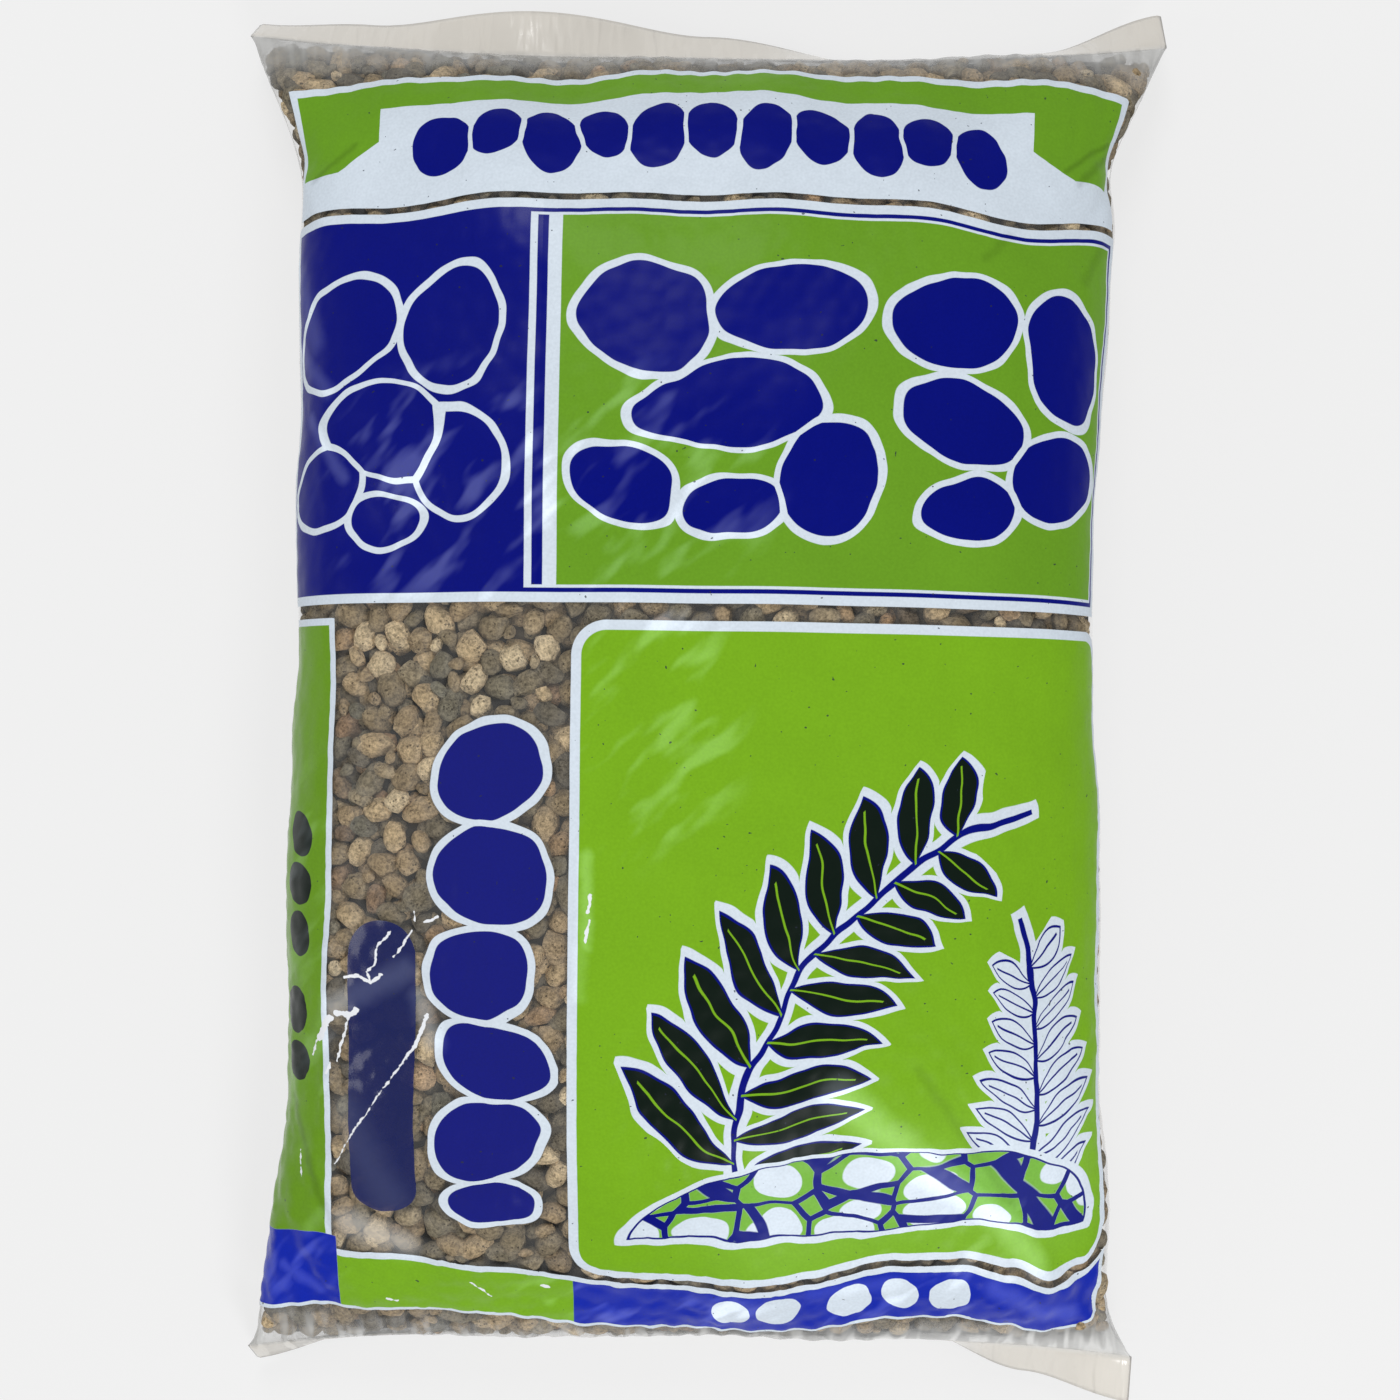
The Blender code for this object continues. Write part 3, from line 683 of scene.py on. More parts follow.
def grain_piece(name, kinds, film, grains, depth, seed):
    """Grains that lie under the film at a depth, joined into one piece."""
    rng = np.random.default_rng(seed)
    across, along, radius = grains
    centre = film.at(film.points, across, along)
    normals = unit(film.at(film.normals, across, along))
    frames = turned(rng, normals)
    beside = film.at(film.points, across + MM, along) - centre
    beside = unit(beside - normals * (beside * normals).sum(axis=1, keepdims=True))
    onward = np.cross(normals, beside)
    kind = rng.integers(0, len(kinds), len(radius))
    tone, hue = rng.uniform(0, 1, (2, len(radius)))
    below = depth + rng.exponential(GRAIN_DROP, len(radius))
    points, faces, tones, hues = [], [], [], []
    start = 0
    for k, (shape, sides) in enumerate(kinds):
        mine = np.flatnonzero(kind == k)
        if not len(mine):
            continue
        placed = np.einsum("nij,vj->nvi", frames[mine], shape) * radius[mine, None, None] * GRAIN_FILL
        over = np.einsum("nvi,ni->nv", placed, beside[mine]) + across[mine, None]
        up = np.einsum("nvi,ni->nv", placed, onward[mine]) + along[mine, None]
        skin = film.at(film.points, over.ravel(), up.ravel()).reshape(placed.shape) - centre[mine, None]
        reach = np.einsum("nvi,ni->nv", placed - skin, normals[mine]).max(axis=1)
        shift = centre[mine] - normals[mine] * (reach + below[mine])[:, None]
        points.append((placed + shift[:, None, :]).reshape(-1, 3))
        numbers = start + np.arange(len(mine))[:, None, None] * len(shape)
        faces.append((sides[None] + numbers).reshape(-1, 3))
        tones.append(np.repeat(tone[mine], len(shape)))
        hues.append(np.repeat(hue[mine], len(shape)))
        start += len(mine) * len(shape)
    points = np.concatenate(points)
    points[:, 2] = np.maximum(points[:, 2], LEAST_HEIGHT)
    piece = mesh_object(name, points, np.concatenate(faces))
    piece.data.set_sharp_from_angle(angle=SHARP_ANGLE)
    give(piece.data, "tone", np.concatenate(tones))
    give(piece.data, "hue", np.concatenate(hues))
    return piece


def part_of(grains, keep):
    """Some of the grains, which are held as across, along and radius."""
    return tuple(values[keep] for values in grains)


def lie_behind(grains):
    return np.abs(grains[0]) > FILM_WIDTH / 2


def grit_pieces(film, grains):
    """The grains that clear film shows, and a deeper layer, in pieces for the front and the back."""
    shown = part_of(grains, ~printed(grains[0], grains[1], UNDER_PRINT))
    shown = part_of(shown, ~(lie_behind(shown) & (film.room(*shown) < shown[2] * BACK_ROOM)))

    def deep_allowed(across, along, radius):
        thick = film.at(film.thickness, across, along) > DEEP_ROOM
        return film.holds(across, along, radius) & ~printed(across, along, DEEP_UNDER_PRINT) & thick

    deep = scatter(film, GRAIN_SEED + 1, DEEP_RADII, DEEP_TRIES, DEEP_GAP, deep_allowed)
    behind, deep_behind, top = lie_behind(shown), lie_behind(deep), shown[1] > 0
    groups = {
        "grit_front": (part_of(shown, ~behind), GRAIN_CLEARANCE),
        "grit_back_top": (part_of(shown, behind & top), GRAIN_CLEARANCE),
        "grit_back_bottom": (part_of(shown, behind & ~top), GRAIN_CLEARANCE),
        "grit_front_deep": (part_of(deep, ~deep_behind), DEEP_DEPTH),
        "grit_back_deep": (part_of(deep, deep_behind), DEEP_DEPTH),
    }
    kinds = grain_kinds()
    return [grain_piece(name, kinds, film, *group, PIECE_SEED + k)
            for k, (name, group) in enumerate(groups.items())]


def core_piece(film):
    """The depth of the heap, a closed skin well inside the film, coloured dark as painted shade under and
    between the grains.
    """
    rows = np.linspace(-CORE_LENGTH / 2, CORE_LENGTH / 2, CORE_ROWS) * film.length
    across = np.linspace(-CORE_WIDTH / 2, CORE_WIDTH / 2, CORE_COLUMNS) * FILM_WIDTH
    rings = []
    for row in rows:
        along = np.full(len(across), row)
        front = film.at(film.points, across, along)
        back = film.at(film.points, np.sign(across + 1e-9) * (FILM_WIDTH - np.abs(across)), along)
        middle = (front + back) / 2
        thick = np.linalg.norm(front - back, axis=1, keepdims=True)
        inset = np.clip(2 * CORE_DEPTH / thick, 0, 0.8)
        front, back = front + (middle - front) * inset, back + (middle - back) * inset
        rings.append(np.concatenate((front, back[::-1])))
    count = len(rings[0])
    index = np.arange(CORE_ROWS * count).reshape(CORE_ROWS, count)
    caps = []
    for ring, flip in ((index[0], True), (index[-1], False)):
        for k in range(CORE_COLUMNS - 1):
            face = [ring[k], ring[k + 1], ring[count - 2 - k], ring[count - 1 - k]]
            caps.append(face[::-1] if flip else face)
    return mesh_object("grit_core", np.concatenate(rings), np.concatenate((ring_quads(index), caps)))


def srgb(red, green, blue):
    """A colour read off a screen, from 0 to 255, as the linear colour that a shader takes."""
    shares = [value / 255 for value in (red, green, blue)]
    return tuple(s / 12.92 if s <= 0.04045 else ((s + 0.055) / 1.055) ** 2.4 for s in shares) + (1.0,)


def arithmetic(operation, swapped=False):
    """A method that makes a Math node, with its two values the other way round if they are swapped."""
    def method(value, *others):
        values = (value, *others)
        return value.finish.math(operation, *(values[::-1] if swapped else values))
    return method


class Value:
    """A number that varies over a surface, with the usual arithmetic."""

    def __init__(self, finish, socket):
        self.finish, self.socket = finish, socket

    def __neg__(self):
        return self * -1.0

    __add__ = __radd__ = arithmetic("ADD")
    __sub__, __rsub__ = arithmetic("SUBTRACT"), arithmetic("SUBTRACT", swapped=True)
    __mul__ = __rmul__ = arithmetic("MULTIPLY")
    __truediv__ = arithmetic("DIVIDE")
    __abs__ = arithmetic("ABSOLUTE")
    __gt__, __lt__ = arithmetic("GREATER_THAN"), arithmetic("LESS_THAN")


class Finish:
    """One material and the nodes that make it."""

    def __init__(self, name):
        self.material = bpy.data.materials.new(name)
        self.material.use_nodes = True
        self.tree = self.material.node_tree
        self.shader = self.tree.nodes["Principled BSDF"]

    def node(self, kind, settings=None, **inputs):
        made = self.tree.nodes.new(kind)
        for key, value in (settings or {}).items():
            if key == "stops":
                self.set_stops(made.color_ramp, value)
            else:
                setattr(made, key, value)
        for key, value in inputs.items():
            self.feed(made.inputs[int(key[1:]) if key[1:].isdigit() else key.replace("_", " ")], value)
        return made

    def set_stops(self, ramp, stops):
        while len(ramp.elements) < len(stops):
            ramp.elements.new(0.5)
        for element, (place, colour) in zip(ramp.elements, stops):
            element.position, element.color = place, colour

    def feed(self, socket, value):
        if isinstance(value, Value):
            value = value.socket
        if isinstance(value, bpy.types.NodeSocket):
            self.tree.links.new(value, socket)
        else:
            socket.default_value = value

    def out(self, made, name=0):
        return Value(self, made.outputs[name])

    def math(self, operation, *values, clamp=False):
        inputs = {f"_{k}": value for k, value in enumerate(values)}
        return self.out(self.node("ShaderNodeMath", {"operation": operation, "use_clamp": clamp}, **inputs))

    def low(self, *values):
        return reduce(lambda one, other: self.math("MINIMUM", one, other), values)

    def high(self, *values):
        return reduce(lambda one, other: self.math("MAXIMUM", one, other), values)

    def madd(self, value, factor, more, clamp=False):
        return self.math("MULTIPLY_ADD", value, factor, more, clamp=clamp)

    def length(self, x, y):
        return self.math("SQRT", self.madd(x, x, y * y))

    def vector(self, x, y):
        return self.node("ShaderNodeCombineXYZ", X=x, Y=y).outputs[0]

    def place(self):
        return self.node("ShaderNodeTexCoord").outputs["Object"]

    def attribute(self, name):
        return self.out(self.node("ShaderNodeAttribute", {"attribute_name": name}), "Fac")

    def ramp(self, value, start, end):
        """0 before start and 1 after end, eased between them."""
        return self.out(self.node("ShaderNodeMapRange", {"interpolation_type": "SMOOTHSTEP"},
                                  _0=value, _1=float(start), _2=float(end), _3=0.0, _4=1.0))

    def mix(self, share, first, second):
        made = self.node("ShaderNodeMix", {"data_type": "RGBA"}, _0=share, _6=first, _7=second)
        return made.outputs[2]

    def multiply(self, colour, factor):
        """A colour made lighter or darker by a number."""
        return self.node("ShaderNodeVectorMath", {"operation": "SCALE"}, _0=colour, _3=factor).outputs[0]

    def noise(self, vector, scale, detail=2.0, roughness=0.5):
        return self.out(self.node("ShaderNodeTexNoise", Vector=vector, Scale=scale, Detail=detail,
                                  Roughness=roughness))

    def cells(self, vector, scale, feature="F1", randomness=1.0):
        return self.out(self.node("ShaderNodeTexVoronoi", {"feature": feature}, Vector=vector, Scale=scale,
                                  Randomness=randomness), "Distance")

    def bump(self, height, distance):
        made = self.node("ShaderNodeBump", Height=height, Distance=distance, Strength=1.0)
        self.feed(self.shader.inputs["Normal"], made.outputs[0])

    def set(self, **inputs):
        for name, value in inputs.items():
            self.feed(self.shader.inputs[name.replace("_", " ")], value)


GREEN = srgb(124, 178, 32)
# The darker greens of the top and of the side band are painted shade, and the lighter blue of the bottom band
# painted sheen: copies of one ink
SHADED_GREEN_TOP = srgb(109, 161, 38)
SHADED_GREEN_SIDE = srgb(108, 156, 30)
BLUE = srgb(4, 14, 124)
SHEEN_BLUE_LOW = srgb(10, 38, 174)
WHITE = srgb(218, 229, 240)
LEAF_DARK = srgb(14, 27, 20)
NAVY = srgb(22, 32, 92)
HAZE = srgb(216, 216, 214)
HAZE_LOW = srgb(226, 226, 224)
FLAP_HAZE = srgb(230, 225, 216)
# Colour of the painted glints on the creases
GLINT = srgb(244, 247, 252)
STONE_GREEN = srgb(120, 182, 60)
SPECK = srgb(40, 44, 60)
CAPSULE_COVER = 0.90

# Sharp creases with painted glints, white lines in place of the light they catch: half width, then the places
# of each, in millimetres across and along
PAINTED_GLINT_CREASES = (
    (0.35, (-123.8, -98.5), (-129.7, -104.5), (-131.0, -112.5), (-133.6, -115.8)),
    (0.45, (-115.3, -97.8), (-118.5, -103.1), (-123.1, -108.5)),
    (0.60, (-109.8, -93.5), (-104.2, -90.8)),
    (0.30, (-114.2, -88.8), (-114.0, -93.1)),
    (0.70, (-144.0, -118.2), (-138.2, -117.8), (-132.3, -120.5), (-128.3, -116.5)),
    (0.60, (-133.6, -115.8), (-132.3, -120.5)),
    (1.20, (-148.0, -134.5), (-142.1, -134.0), (-138.8, -131.8)),
    (0.50, (-142.1, -134.0), (-145.3, -145.2), (-148.2, -155.2)),
    (1.40, (-150.6, -137.2), (-157.1, -146.5)),
    (0.45, (-157.1, -146.5), (-162.1, -155.2)),
    (0.50, (-151.9, -157.2), (-153.2, -161.9)),
    (0.80, (-108.5, -131.0), (-111.3, -138.5), (-114.6, -146.5)),
    (0.45, (-114.6, -146.5), (-119.8, -153.2)),
    (0.28, (-119.8, -153.2), (-146.0, -192.6), (-150.6, -200.6)),
    (0.60, (-42.0, -79.1), (-43.4, -86.4)),
    (0.50, (-43.1, -89.8), (-43.7, -98.5)),
    (0.35, (-170.5, -200.0), (-169.0, -212.0)),
    (0.35, (-92.0, -257.0), (-84.0, -265.0)),
    (0.90, (-62.5, -256.0), (-60.0, -256.0)),
    (0.50, (-129.0, -270.0), (-124.0, -272.0)),
)
# Soft folds with painted sheen or painted shade, lighter or darker than the film round them: strength, width,
# then both ends
FOLD_SHEEN_AND_SHADE = (
    (0.50, 13.0, (58, -160), (144, -236)), (0.12, 60.0, (40, -214), (150, -200)),
    (0.34, 4.5, (-44, -64), (-44, -100)), (0.16, 5.0, (-46, -100), (-46, -120)),
    (0.30, 5.0, (-172, 118), (-150, 90)), (0.24, 6.0, (-182, 150), (-160, 128)),
    (0.20, 9.0, (-184, 184), (-168, 150)),
    (0.30, 9.0, (-150, -132), (-118, -114)), (0.26, 8.0, (-112, -124), (-106, -142)),
    (0.16, 16.0, (-126, -214), (-144, -176)), (0.30, 14.0, (-144, -230), (-120, -240)),
    (0.22, 4.5, (-178, -256), (-160, -270)), (0.18, 6.0, (-164, -238), (-156, -228)),
    (0.28, 9.0, (128, -254), (166, -268)), (0.18, 7.0, (50, -252), (84, -256)),
    (-0.24, 2.6, (154, 228), (178, 247)), (-0.22, 3.4, (160, 222), (179, 240)),
    (-0.14, 3.5, (114, 184), (125, 197)),
    (-0.14, 4.5, (162, 178), (175, 195)), (-0.20, 3.0, (-172, 222), (-150, 236)),
    (-0.14, 4.0, (90, -150), (132, -212)), (-0.22, 4.0, (-176, -178), (-150, -236)),
)
# Crumpled stretches of the film, where patches of painted sheen lie: strength, then middle and half size
# across and along
CRUMPLE_SHEENS = (
    (0.42, -104, 84, 62, 50), (0.30, -20, 84, 52, 50), (0.30, -18, -10, 38, 56),
    (0.46, -20, -262, 60, 20), (0.30, 96, -264, 60, 18), (0.34, -172, -254, 26, 26),
    (0.24, -168, -120, 22, 90), (0.22, 110, -226, 70, 24),
)

# Slant and fineness of the painted sheen patches in the crumples, and where the painted glints of the sharp
# creases break off
SHEEN_SLANT = 0.34
SHEEN_SCALE = 0.055
GLINT_GAPS = 0.45
# How far beyond a region's edge the gathered film can carry a crease, in millimetres
CREASE_CARRY = 8.0

# Gloss and roughness of the film: clear, plain print, and the regions that differ
CLEAR_GLOSS = (0.40, 0.17)
PRINT_GLOSS = (0.07, 0.33)
GLOSS = {"window": (0.36, 0.17), "side": (0.16, 0.25), "bottom": (0.17, 0.27), "title_left": (0.12, 0.27)}
# How milky the film is over a grain, and how much more between grains, at a side fold and in a flap
MILK = 0.02
MILK_BETWEEN = 0.06
MILK_FOLDED = 0.22
MILK_FLAP = 0.36

STONE_OUTLINE = 3.2
STONE_SEAM = 2.6


class Print(Finish):
    """The print on the film: shapes as distances in millimetres, laid over each other as inks."""

    def __init__(self, name):
        super().__init__(name)
        flat = self.node("ShaderNodeUVMap", {"uv_map": "flat_film"}).outputs[0]
        self.flat = self.node("ShaderNodeVectorMath", {"operation": "SCALE"}, _0=flat, _3=1 / MM).outputs[0]
        split = self.node("ShaderNodeSeparateXYZ", Vector=self.flat)
        self.a, self.b = self.out(split, 0), self.out(split, 1)
        self.colour = None
        self.cover = None

    def wavy(self, reach, scale):
        """Places shifted slowly to and fro, for outlines drawn by hand."""
        noise = self.node("ShaderNodeTexNoise", Vector=self.flat, Scale=scale, Detail=2.0)
        split = self.node("ShaderNodeSeparateColor", _0=noise.outputs["Color"])
        shift = [(self.out(split, k) - 0.5) * reach for k in (0, 1)]
        return self.a + shift[0], self.b + shift[1]

    def box(self, left, right, low, high, corner=0.0):
        """Distance from a box's edge, its corners rounded by a radius."""
        across = abs(self.a - (left + right) / 2) - ((right - left) / 2 - corner)
        along = abs(self.b - (low + high) / 2) - ((high - low) / 2 - corner)
        inside = self.high(across, along)
        if not corner:
            return inside
        reach = self.length(self.high(across, 0.0), self.high(along, 0.0))
        return reach + self.low(inside, 0.0) - corner

    def pebble(self, a, b, across, along, long, wide, turn):
        """Distance from an oval's edge. Turn is in degrees from across."""
        cos, sin = math.cos(math.radians(turn)), math.sin(math.radians(turn))
        madd = self.madd
        u = madd(a, cos / long, madd(b, sin / long, -(across * cos + along * sin) / long))
        v = madd(a, -sin / wide, madd(b, cos / wide, (across * sin - along * cos) / wide))
        return madd(self.length(u, v), (long + wide) / 2, -(long + wide) / 2)

    def stones(self, a, b, ovals, outline=STONE_OUTLINE, seam=STONE_SEAM, ink=BLUE, rim=WHITE):
        """Ovals with an outline, which is also the seam where two of them meet."""
        nearest, second = self.pebble(a, b, *ovals[0]), 100.0
        for oval in ovals[1:]:
            reach = self.pebble(a, b, *oval)
            second = self.low(second, self.high(nearest, reach))
            nearest = self.low(nearest, reach)
        if rim:
            self.fill(nearest, rim, outline)
        self.fill(self.high(nearest, seam - (second - nearest)), ink)

    def inside(self, distance, grow=0.0):
        """1 inside an edge and 0 outside it, with the edge moved out a little."""
        return self.madd(distance, -1 / EDGE, 0.5 + grow / EDGE, clamp=True)

    def fill(self, distance, colour, grow=0.0):
        """Print a colour inside an edge, which is moved out a little."""
        self.lay(self.inside(distance, grow), colour)

    def lay(self, mask, colour):
        """Print a colour over what is there."""
        if self.colour is None:
            self.colour, self.cover = colour, mask
            return
        self.colour = self.mix(mask, self.colour, colour)
        self.cover = self.high(self.cover, mask)


# Ovals of the print in each region: across, along, half length, half width, turn
OVALS = {
    "title_left": (
        (-152, 152, 27, 20, 24), (-103, 150, 20, 25, -12), (-130, 108, 31, 17, -12), (-161, 86, 20, 15, 40),
        (-98, 94, 17, 22, 14), (-130, 72, 17, 10, -6),
    ),
    "title_right": (
        (-24, 152, 27, 21, -20), (36, 156, 31, 18, 12), (10, 116, 38, 17, 6), (-32, 84, 21, 14, -28),
        (50, 88, 19, 25, -18), (12, 76, 19, 11, 8), (102, 155, 27, 19, 14), (152, 144, 18, 27, 12),
        (106, 112, 27, 18, -18), (148, 92, 22, 17, 30), (108, 76, 20, 12, 4),
    ),
    "window": (
        (-84, -32, 22, 19, 30), (-82, -74, 23, 20, -20), (-86, -114, 20, 17, 15), (-80, -148, 22, 15, -8),
        (-84, -182, 22, 17, 20), (-82, -212, 17, 11, 0),
    ),
    "top": (
        (-110, 231, 12, 15, 12), (-87, 234, 11, 13, -20), (-64, 230, 12, 16, 8), (-42, 233, 10, 14, 24),
        (-20, 231, 11, 16, -10), (2, 233, 11, 13, 16), (24, 230, 11, 16, -14), (47, 232, 12, 14, 20),
        (70, 230, 11, 16, 6), (92, 233, 11, 13, -18), (114, 230, 11, 15, 12),
    ),
    "side": (
        (-171, -62, 8, 10, 12), (-172, -84, 9, 9, -20), (-171, -105, 8, 10, 20), (-173, -138, 9, 10, -8),
        (-172, -160, 8, 9, 14),
    ),
    "bottom": (
        (16, -262, 8, 9, 12), (36, -261, 9, 10, -14), (66, -262, 9, 10, 8), (87, -261, 8, 9, 24),
        (108, -262, 9, 10, -10),
    ),
}


# How the ovals of each region are drawn: reach and pitch of their waver, then seam, ink and outline
OVAL_STYLES = {
    "title_left": (14.0, 40, {}), "title_right": (14.0, 40, {}), "window": (14.0, 40, {}),
    "top": (6.0, 22, {"seam": 2.2, "rim": None}),
    "side": (5.0, 18, {"seam": 1.8, "ink": LEAF_DARK, "rim": None}),
    "bottom": (5.0, 18, {"seam": 1.8, "ink": WHITE, "rim": None}),
}
CAPSULE = (-142.5, -113.5, -222.0, -94.0, 14.0)
# White rim and blue line round the drawings in the picture panel
DRAWING_RIM = 3.4
SPRIG_LINE = 0.35
HEAP_LINE = 0.30
# Twig, leaf edge and the rib in a leaf, which is a share of the leaf's length
TWIG_HALF = 0.9
LEAF_EDGE = 0.6
RIB_HALF = 0.45
RIB_LENGTH = 0.86
# Stones of the heap: how much lower than wide, how random, their seams and how many are green
HEAP_SQUASH = 1.35
HEAP_RANDOM = 0.75
HEAP_SEAM = 1.2
HEAP_GREEN = 7.3
# Stripes of the wide panel: distances in from its edge, and along it from the split
TITLE_RULE = 5.8
STRIPE_INSET = 7.0
STRIPE_PLACE = 5.2
STRIPE_HALF = 2.2
GREEN_FROM = 13.0


def title_ink(art):
    """The wide panel: a blue field, a green field and the stripes between them."""
    left, right, low, high = TITLE
    lean = art.madd(art.b, TITLE_LEAN, right - TITLE_LEAN * high)
    beside = art.high(left - art.a, art.a - lean)
    panel = art.high(beside, abs(art.b - (low + high) / 2) - (high - low) / 2)
    art.fill(panel, WHITE)
    art.fill(panel, BLUE, -BORDER)
    art.fill(art.high(panel + TITLE_RULE, TITLE_SPLIT - art.a), WHITE)
    stripe = abs(art.a - (TITLE_SPLIT + STRIPE_PLACE)) - STRIPE_HALF
    art.fill(art.high(panel + STRIPE_INSET, stripe), BLUE)
    art.fill(art.high(panel + STRIPE_INSET, TITLE_SPLIT + GREEN_FROM - art.a), SHADED_GREEN_TOP)


def top_ink(art):
    """The top band: white, with a green ribbon whose tails hang at both sides."""
    band = art.box(*TOP_BAND)
    art.fill(band, WHITE)
    aside = abs(art.a)
    slant = art.madd(aside, -TAIL_SLANT, RIBBON_TAIL + TAIL_SLANT * (FIELD_HALF + TAIL_RUN))
    middle = aside < FIELD_HALF
    tail = art.high(slant, RIBBON_TAIL) * (1.0 - middle) + middle * RIBBON_EDGE
    art.fill(art.high(band + BORDER, tail - art.b), SHADED_GREEN_TOP)


def side_ink(art):
    """The side band, which turns round the left side, and the end of the bottom band."""
    side = art.box(*SIDE_BAND)
    art.fill(side, WHITE)
    art.fill(side, SHADED_GREEN_SIDE, -SIDE_BORDER)
    bottom_ink(art)


def bottom_ink(art):
    """The bottom band: green, with blue at the right, and at the left where it runs into the side band."""
    left, right, low, high = BOTTOM_BAND
    check, field = BOTTOM_CHECKS
    art.fill(art.box(*BOTTOM_BAND), WHITE)
    band = art.box(left + SIDE_BORDER, right - SIDE_BORDER, low + 2.0, high - 3.4)
    art.fill(art.high(band, check - art.a), GREEN)
    art.fill(art.high(band, field - art.a), SHEEN_BLUE_LOW)
    art.fill(art.box(left + SIDE_BORDER, check, low + 2.0, CHECK_TOP), SHEEN_BLUE_LOW)


def window_ink(art):
    """What stands in the clear window: a dark capsule, and the edge of the picture panel."""
    art.lay(art.inside(art.box(*CAPSULE)) * CAPSULE_COVER, NAVY)
    art.fill(art.box(*PICTURE, PICTURE_CORNER), WHITE)


def sprig(art, place, stem, leaf, fill, rib):
    """Pairs of leaves along a stem that is an arc: its centre, radius, start in degrees, pitch and count.

    A negative radius makes the stem grow clockwise. A leaf has its length, half width, slope and shrinking.
    """
    across, along, radius, start, pitch, count = stem
    long, wide, slope, shrinking = leaf
    a, b = place[0] - across, place[1] - along
    u = (art.math("ARCTAN2", b, a) - math.radians(start)) * radius
    radius = abs(radius)
    v = art.length(a, b) - radius
    aside = abs(v)
    shear = u - aside * slope + (v < 0.0) * (pitch / 2)
    cell = art.math("FLOOR", shear / pitch)
    offset = abs(shear - (cell + 0.5) * pitch)
    size = (1.0 - art.madd(cell, shrinking / count, 0.0, clamp=True)) * long
    reach = aside / size
    outside = art.high(-0.5 - cell, cell - (count - 0.5)) * 60
    leaves = art.high(offset - reach * (1.0 - reach) * (4 * wide), aside - size, outside)
    twig = art.high(aside - TWIG_HALF, -u, u - pitch * (count + 1))
    drawing = art.low(leaves, twig)
    art.fill(drawing, WHITE, DRAWING_RIM)
    art.fill(drawing, BLUE, SPRIG_LINE)
    art.fill(leaves, fill, -LEAF_EDGE)
    art.fill(art.high(offset - RIB_HALF, aside - size * RIB_LENGTH, outside), rib)


def heap(art, place, mound, floor, pitch):
    """A low heap of outlined stones, some of them green, on a level floor."""
    a, b = place
    mound = art.high(art.pebble(a, b, *mound), floor - b)
    spot = art.vector(a, b * HEAP_SQUASH)
    ring = art.cells(spot, 1 / pitch, "DISTANCE_TO_EDGE", HEAP_RANDOM)
    shade = art.cells(spot, 1 / pitch, "F1", HEAP_RANDOM)
    stone = art.high(mound + HEAP_SEAM / 2, HEAP_SEAM - ring * pitch)
    art.fill(mound, WHITE, DRAWING_RIM)
    art.fill(mound, BLUE, HEAP_LINE)
    art.fill(stone, WHITE)
    art.fill(art.high(stone, HEAP_GREEN - shade * 14), STONE_GREEN)


def picture_ink(art):
    """The picture panel: a green field with a drawn border, leaves and stones."""
    panel = art.box(*PICTURE, PICTURE_CORNER)
    art.fill(panel, WHITE)
    art.fill(panel, GREEN, -BORDER)
    place = art.wavy(14.0, 1 / 40)
    sprig(art, place, (182, -204, -168, 178, 21.0, 9), (50, 8.4, 0.55, 0.5), LEAF_DARK, GREEN)
    sprig(art, place, (-70, -150, 212, -17, 14.0, 8), (31, 5.6, 0.6, 0.5), WHITE, BLUE)
    heap(art, place, (72, -220, 98, 36, 3), -222, 23)


INKS = {
    "top": top_ink, "title_left": title_ink, "title_right": title_ink, "side": side_ink,
    "window": window_ink, "picture": picture_ink, "bottom": bottom_ink,
}


def segment(art, a, b, start, end):
    """Distance from a straight line between two places."""
    (start_a, start_b), (end_a, end_b) = start, end
    run_a, run_b = end_a - start_a, end_b - start_b
    square = run_a ** 2 + run_b ** 2
    madd = art.madd
    share = madd(a, run_a / square, madd(b, run_b / square, -(start_a * run_a + start_b * run_b) / square),
                 clamp=True)
    return art.length(madd(share, -run_a, a) - start_a, madd(share, -run_b, b) - start_b)


def meets(region, places, margin):
    """Whether a line or a patch comes within a margin of a region."""
    left, right, low, high = REGIONS[region]
    across, along = zip(*places)
    more = margin + CREASE_CARRY
    return (max(across) > left - margin and min(across) < right + margin
            and max(along) > low - more and min(along) < high + more)


def creased(art, region):
    """How strong the painted glints on the sharp creases are, and the painted sheen and painted shade of the
    soft folds and crumples, from 0 to 1.
    """
    painted_glint = light = dark = 0.0
    a, b = art.wavy(3.2, 1 / 8)
    nearest = None
    for half, *places in PAINTED_GLINT_CREASES:
        if meets(region, places, 2.0):
            for start, end in zip(places, places[1:]):
                reach = segment(art, a, b, start, end) - half
                nearest = reach if nearest is None else art.low(nearest, reach)
    if nearest is not None:
        gaps = (art.noise(art.flat, GLINT_GAPS, 1.0) - 0.50) * 1.8
        painted_glint = art.inside(nearest + gaps)
    for strength, width, *ends in FOLD_SHEEN_AND_SHADE:
        if meets(region, ends, width):
            fold = (1.0 - art.ramp(segment(art, a, b, *ends), 0.0, width)) * abs(strength)
            if strength > 0:
                light = art.high(light, fold)
            else:
                dark = art.high(dark, fold)
    zone = 0.0
    for strength, across, along, wide, long in CRUMPLE_SHEENS:
        if meets(region, ((across - wide, along - long), (across + wide, along + long)), 0.0):
            inside = 1.0 - art.ramp(art.pebble(a, b, across, along, wide, long, 0), -16.0, 8.0)
            zone = art.high(zone, inside * strength)
    if isinstance(zone, Value):
        # Painted sheen: light patches over the crumpled stretches
        slanted = art.vector(art.a - art.b, (art.a + art.b) * SHEEN_SLANT)
        facet = art.ramp(art.noise(slanted, SHEEN_SCALE, 2.0, 0.55), 0.50, 0.68)
        light = art.high(light, facet * zone)
    return painted_glint, light, dark


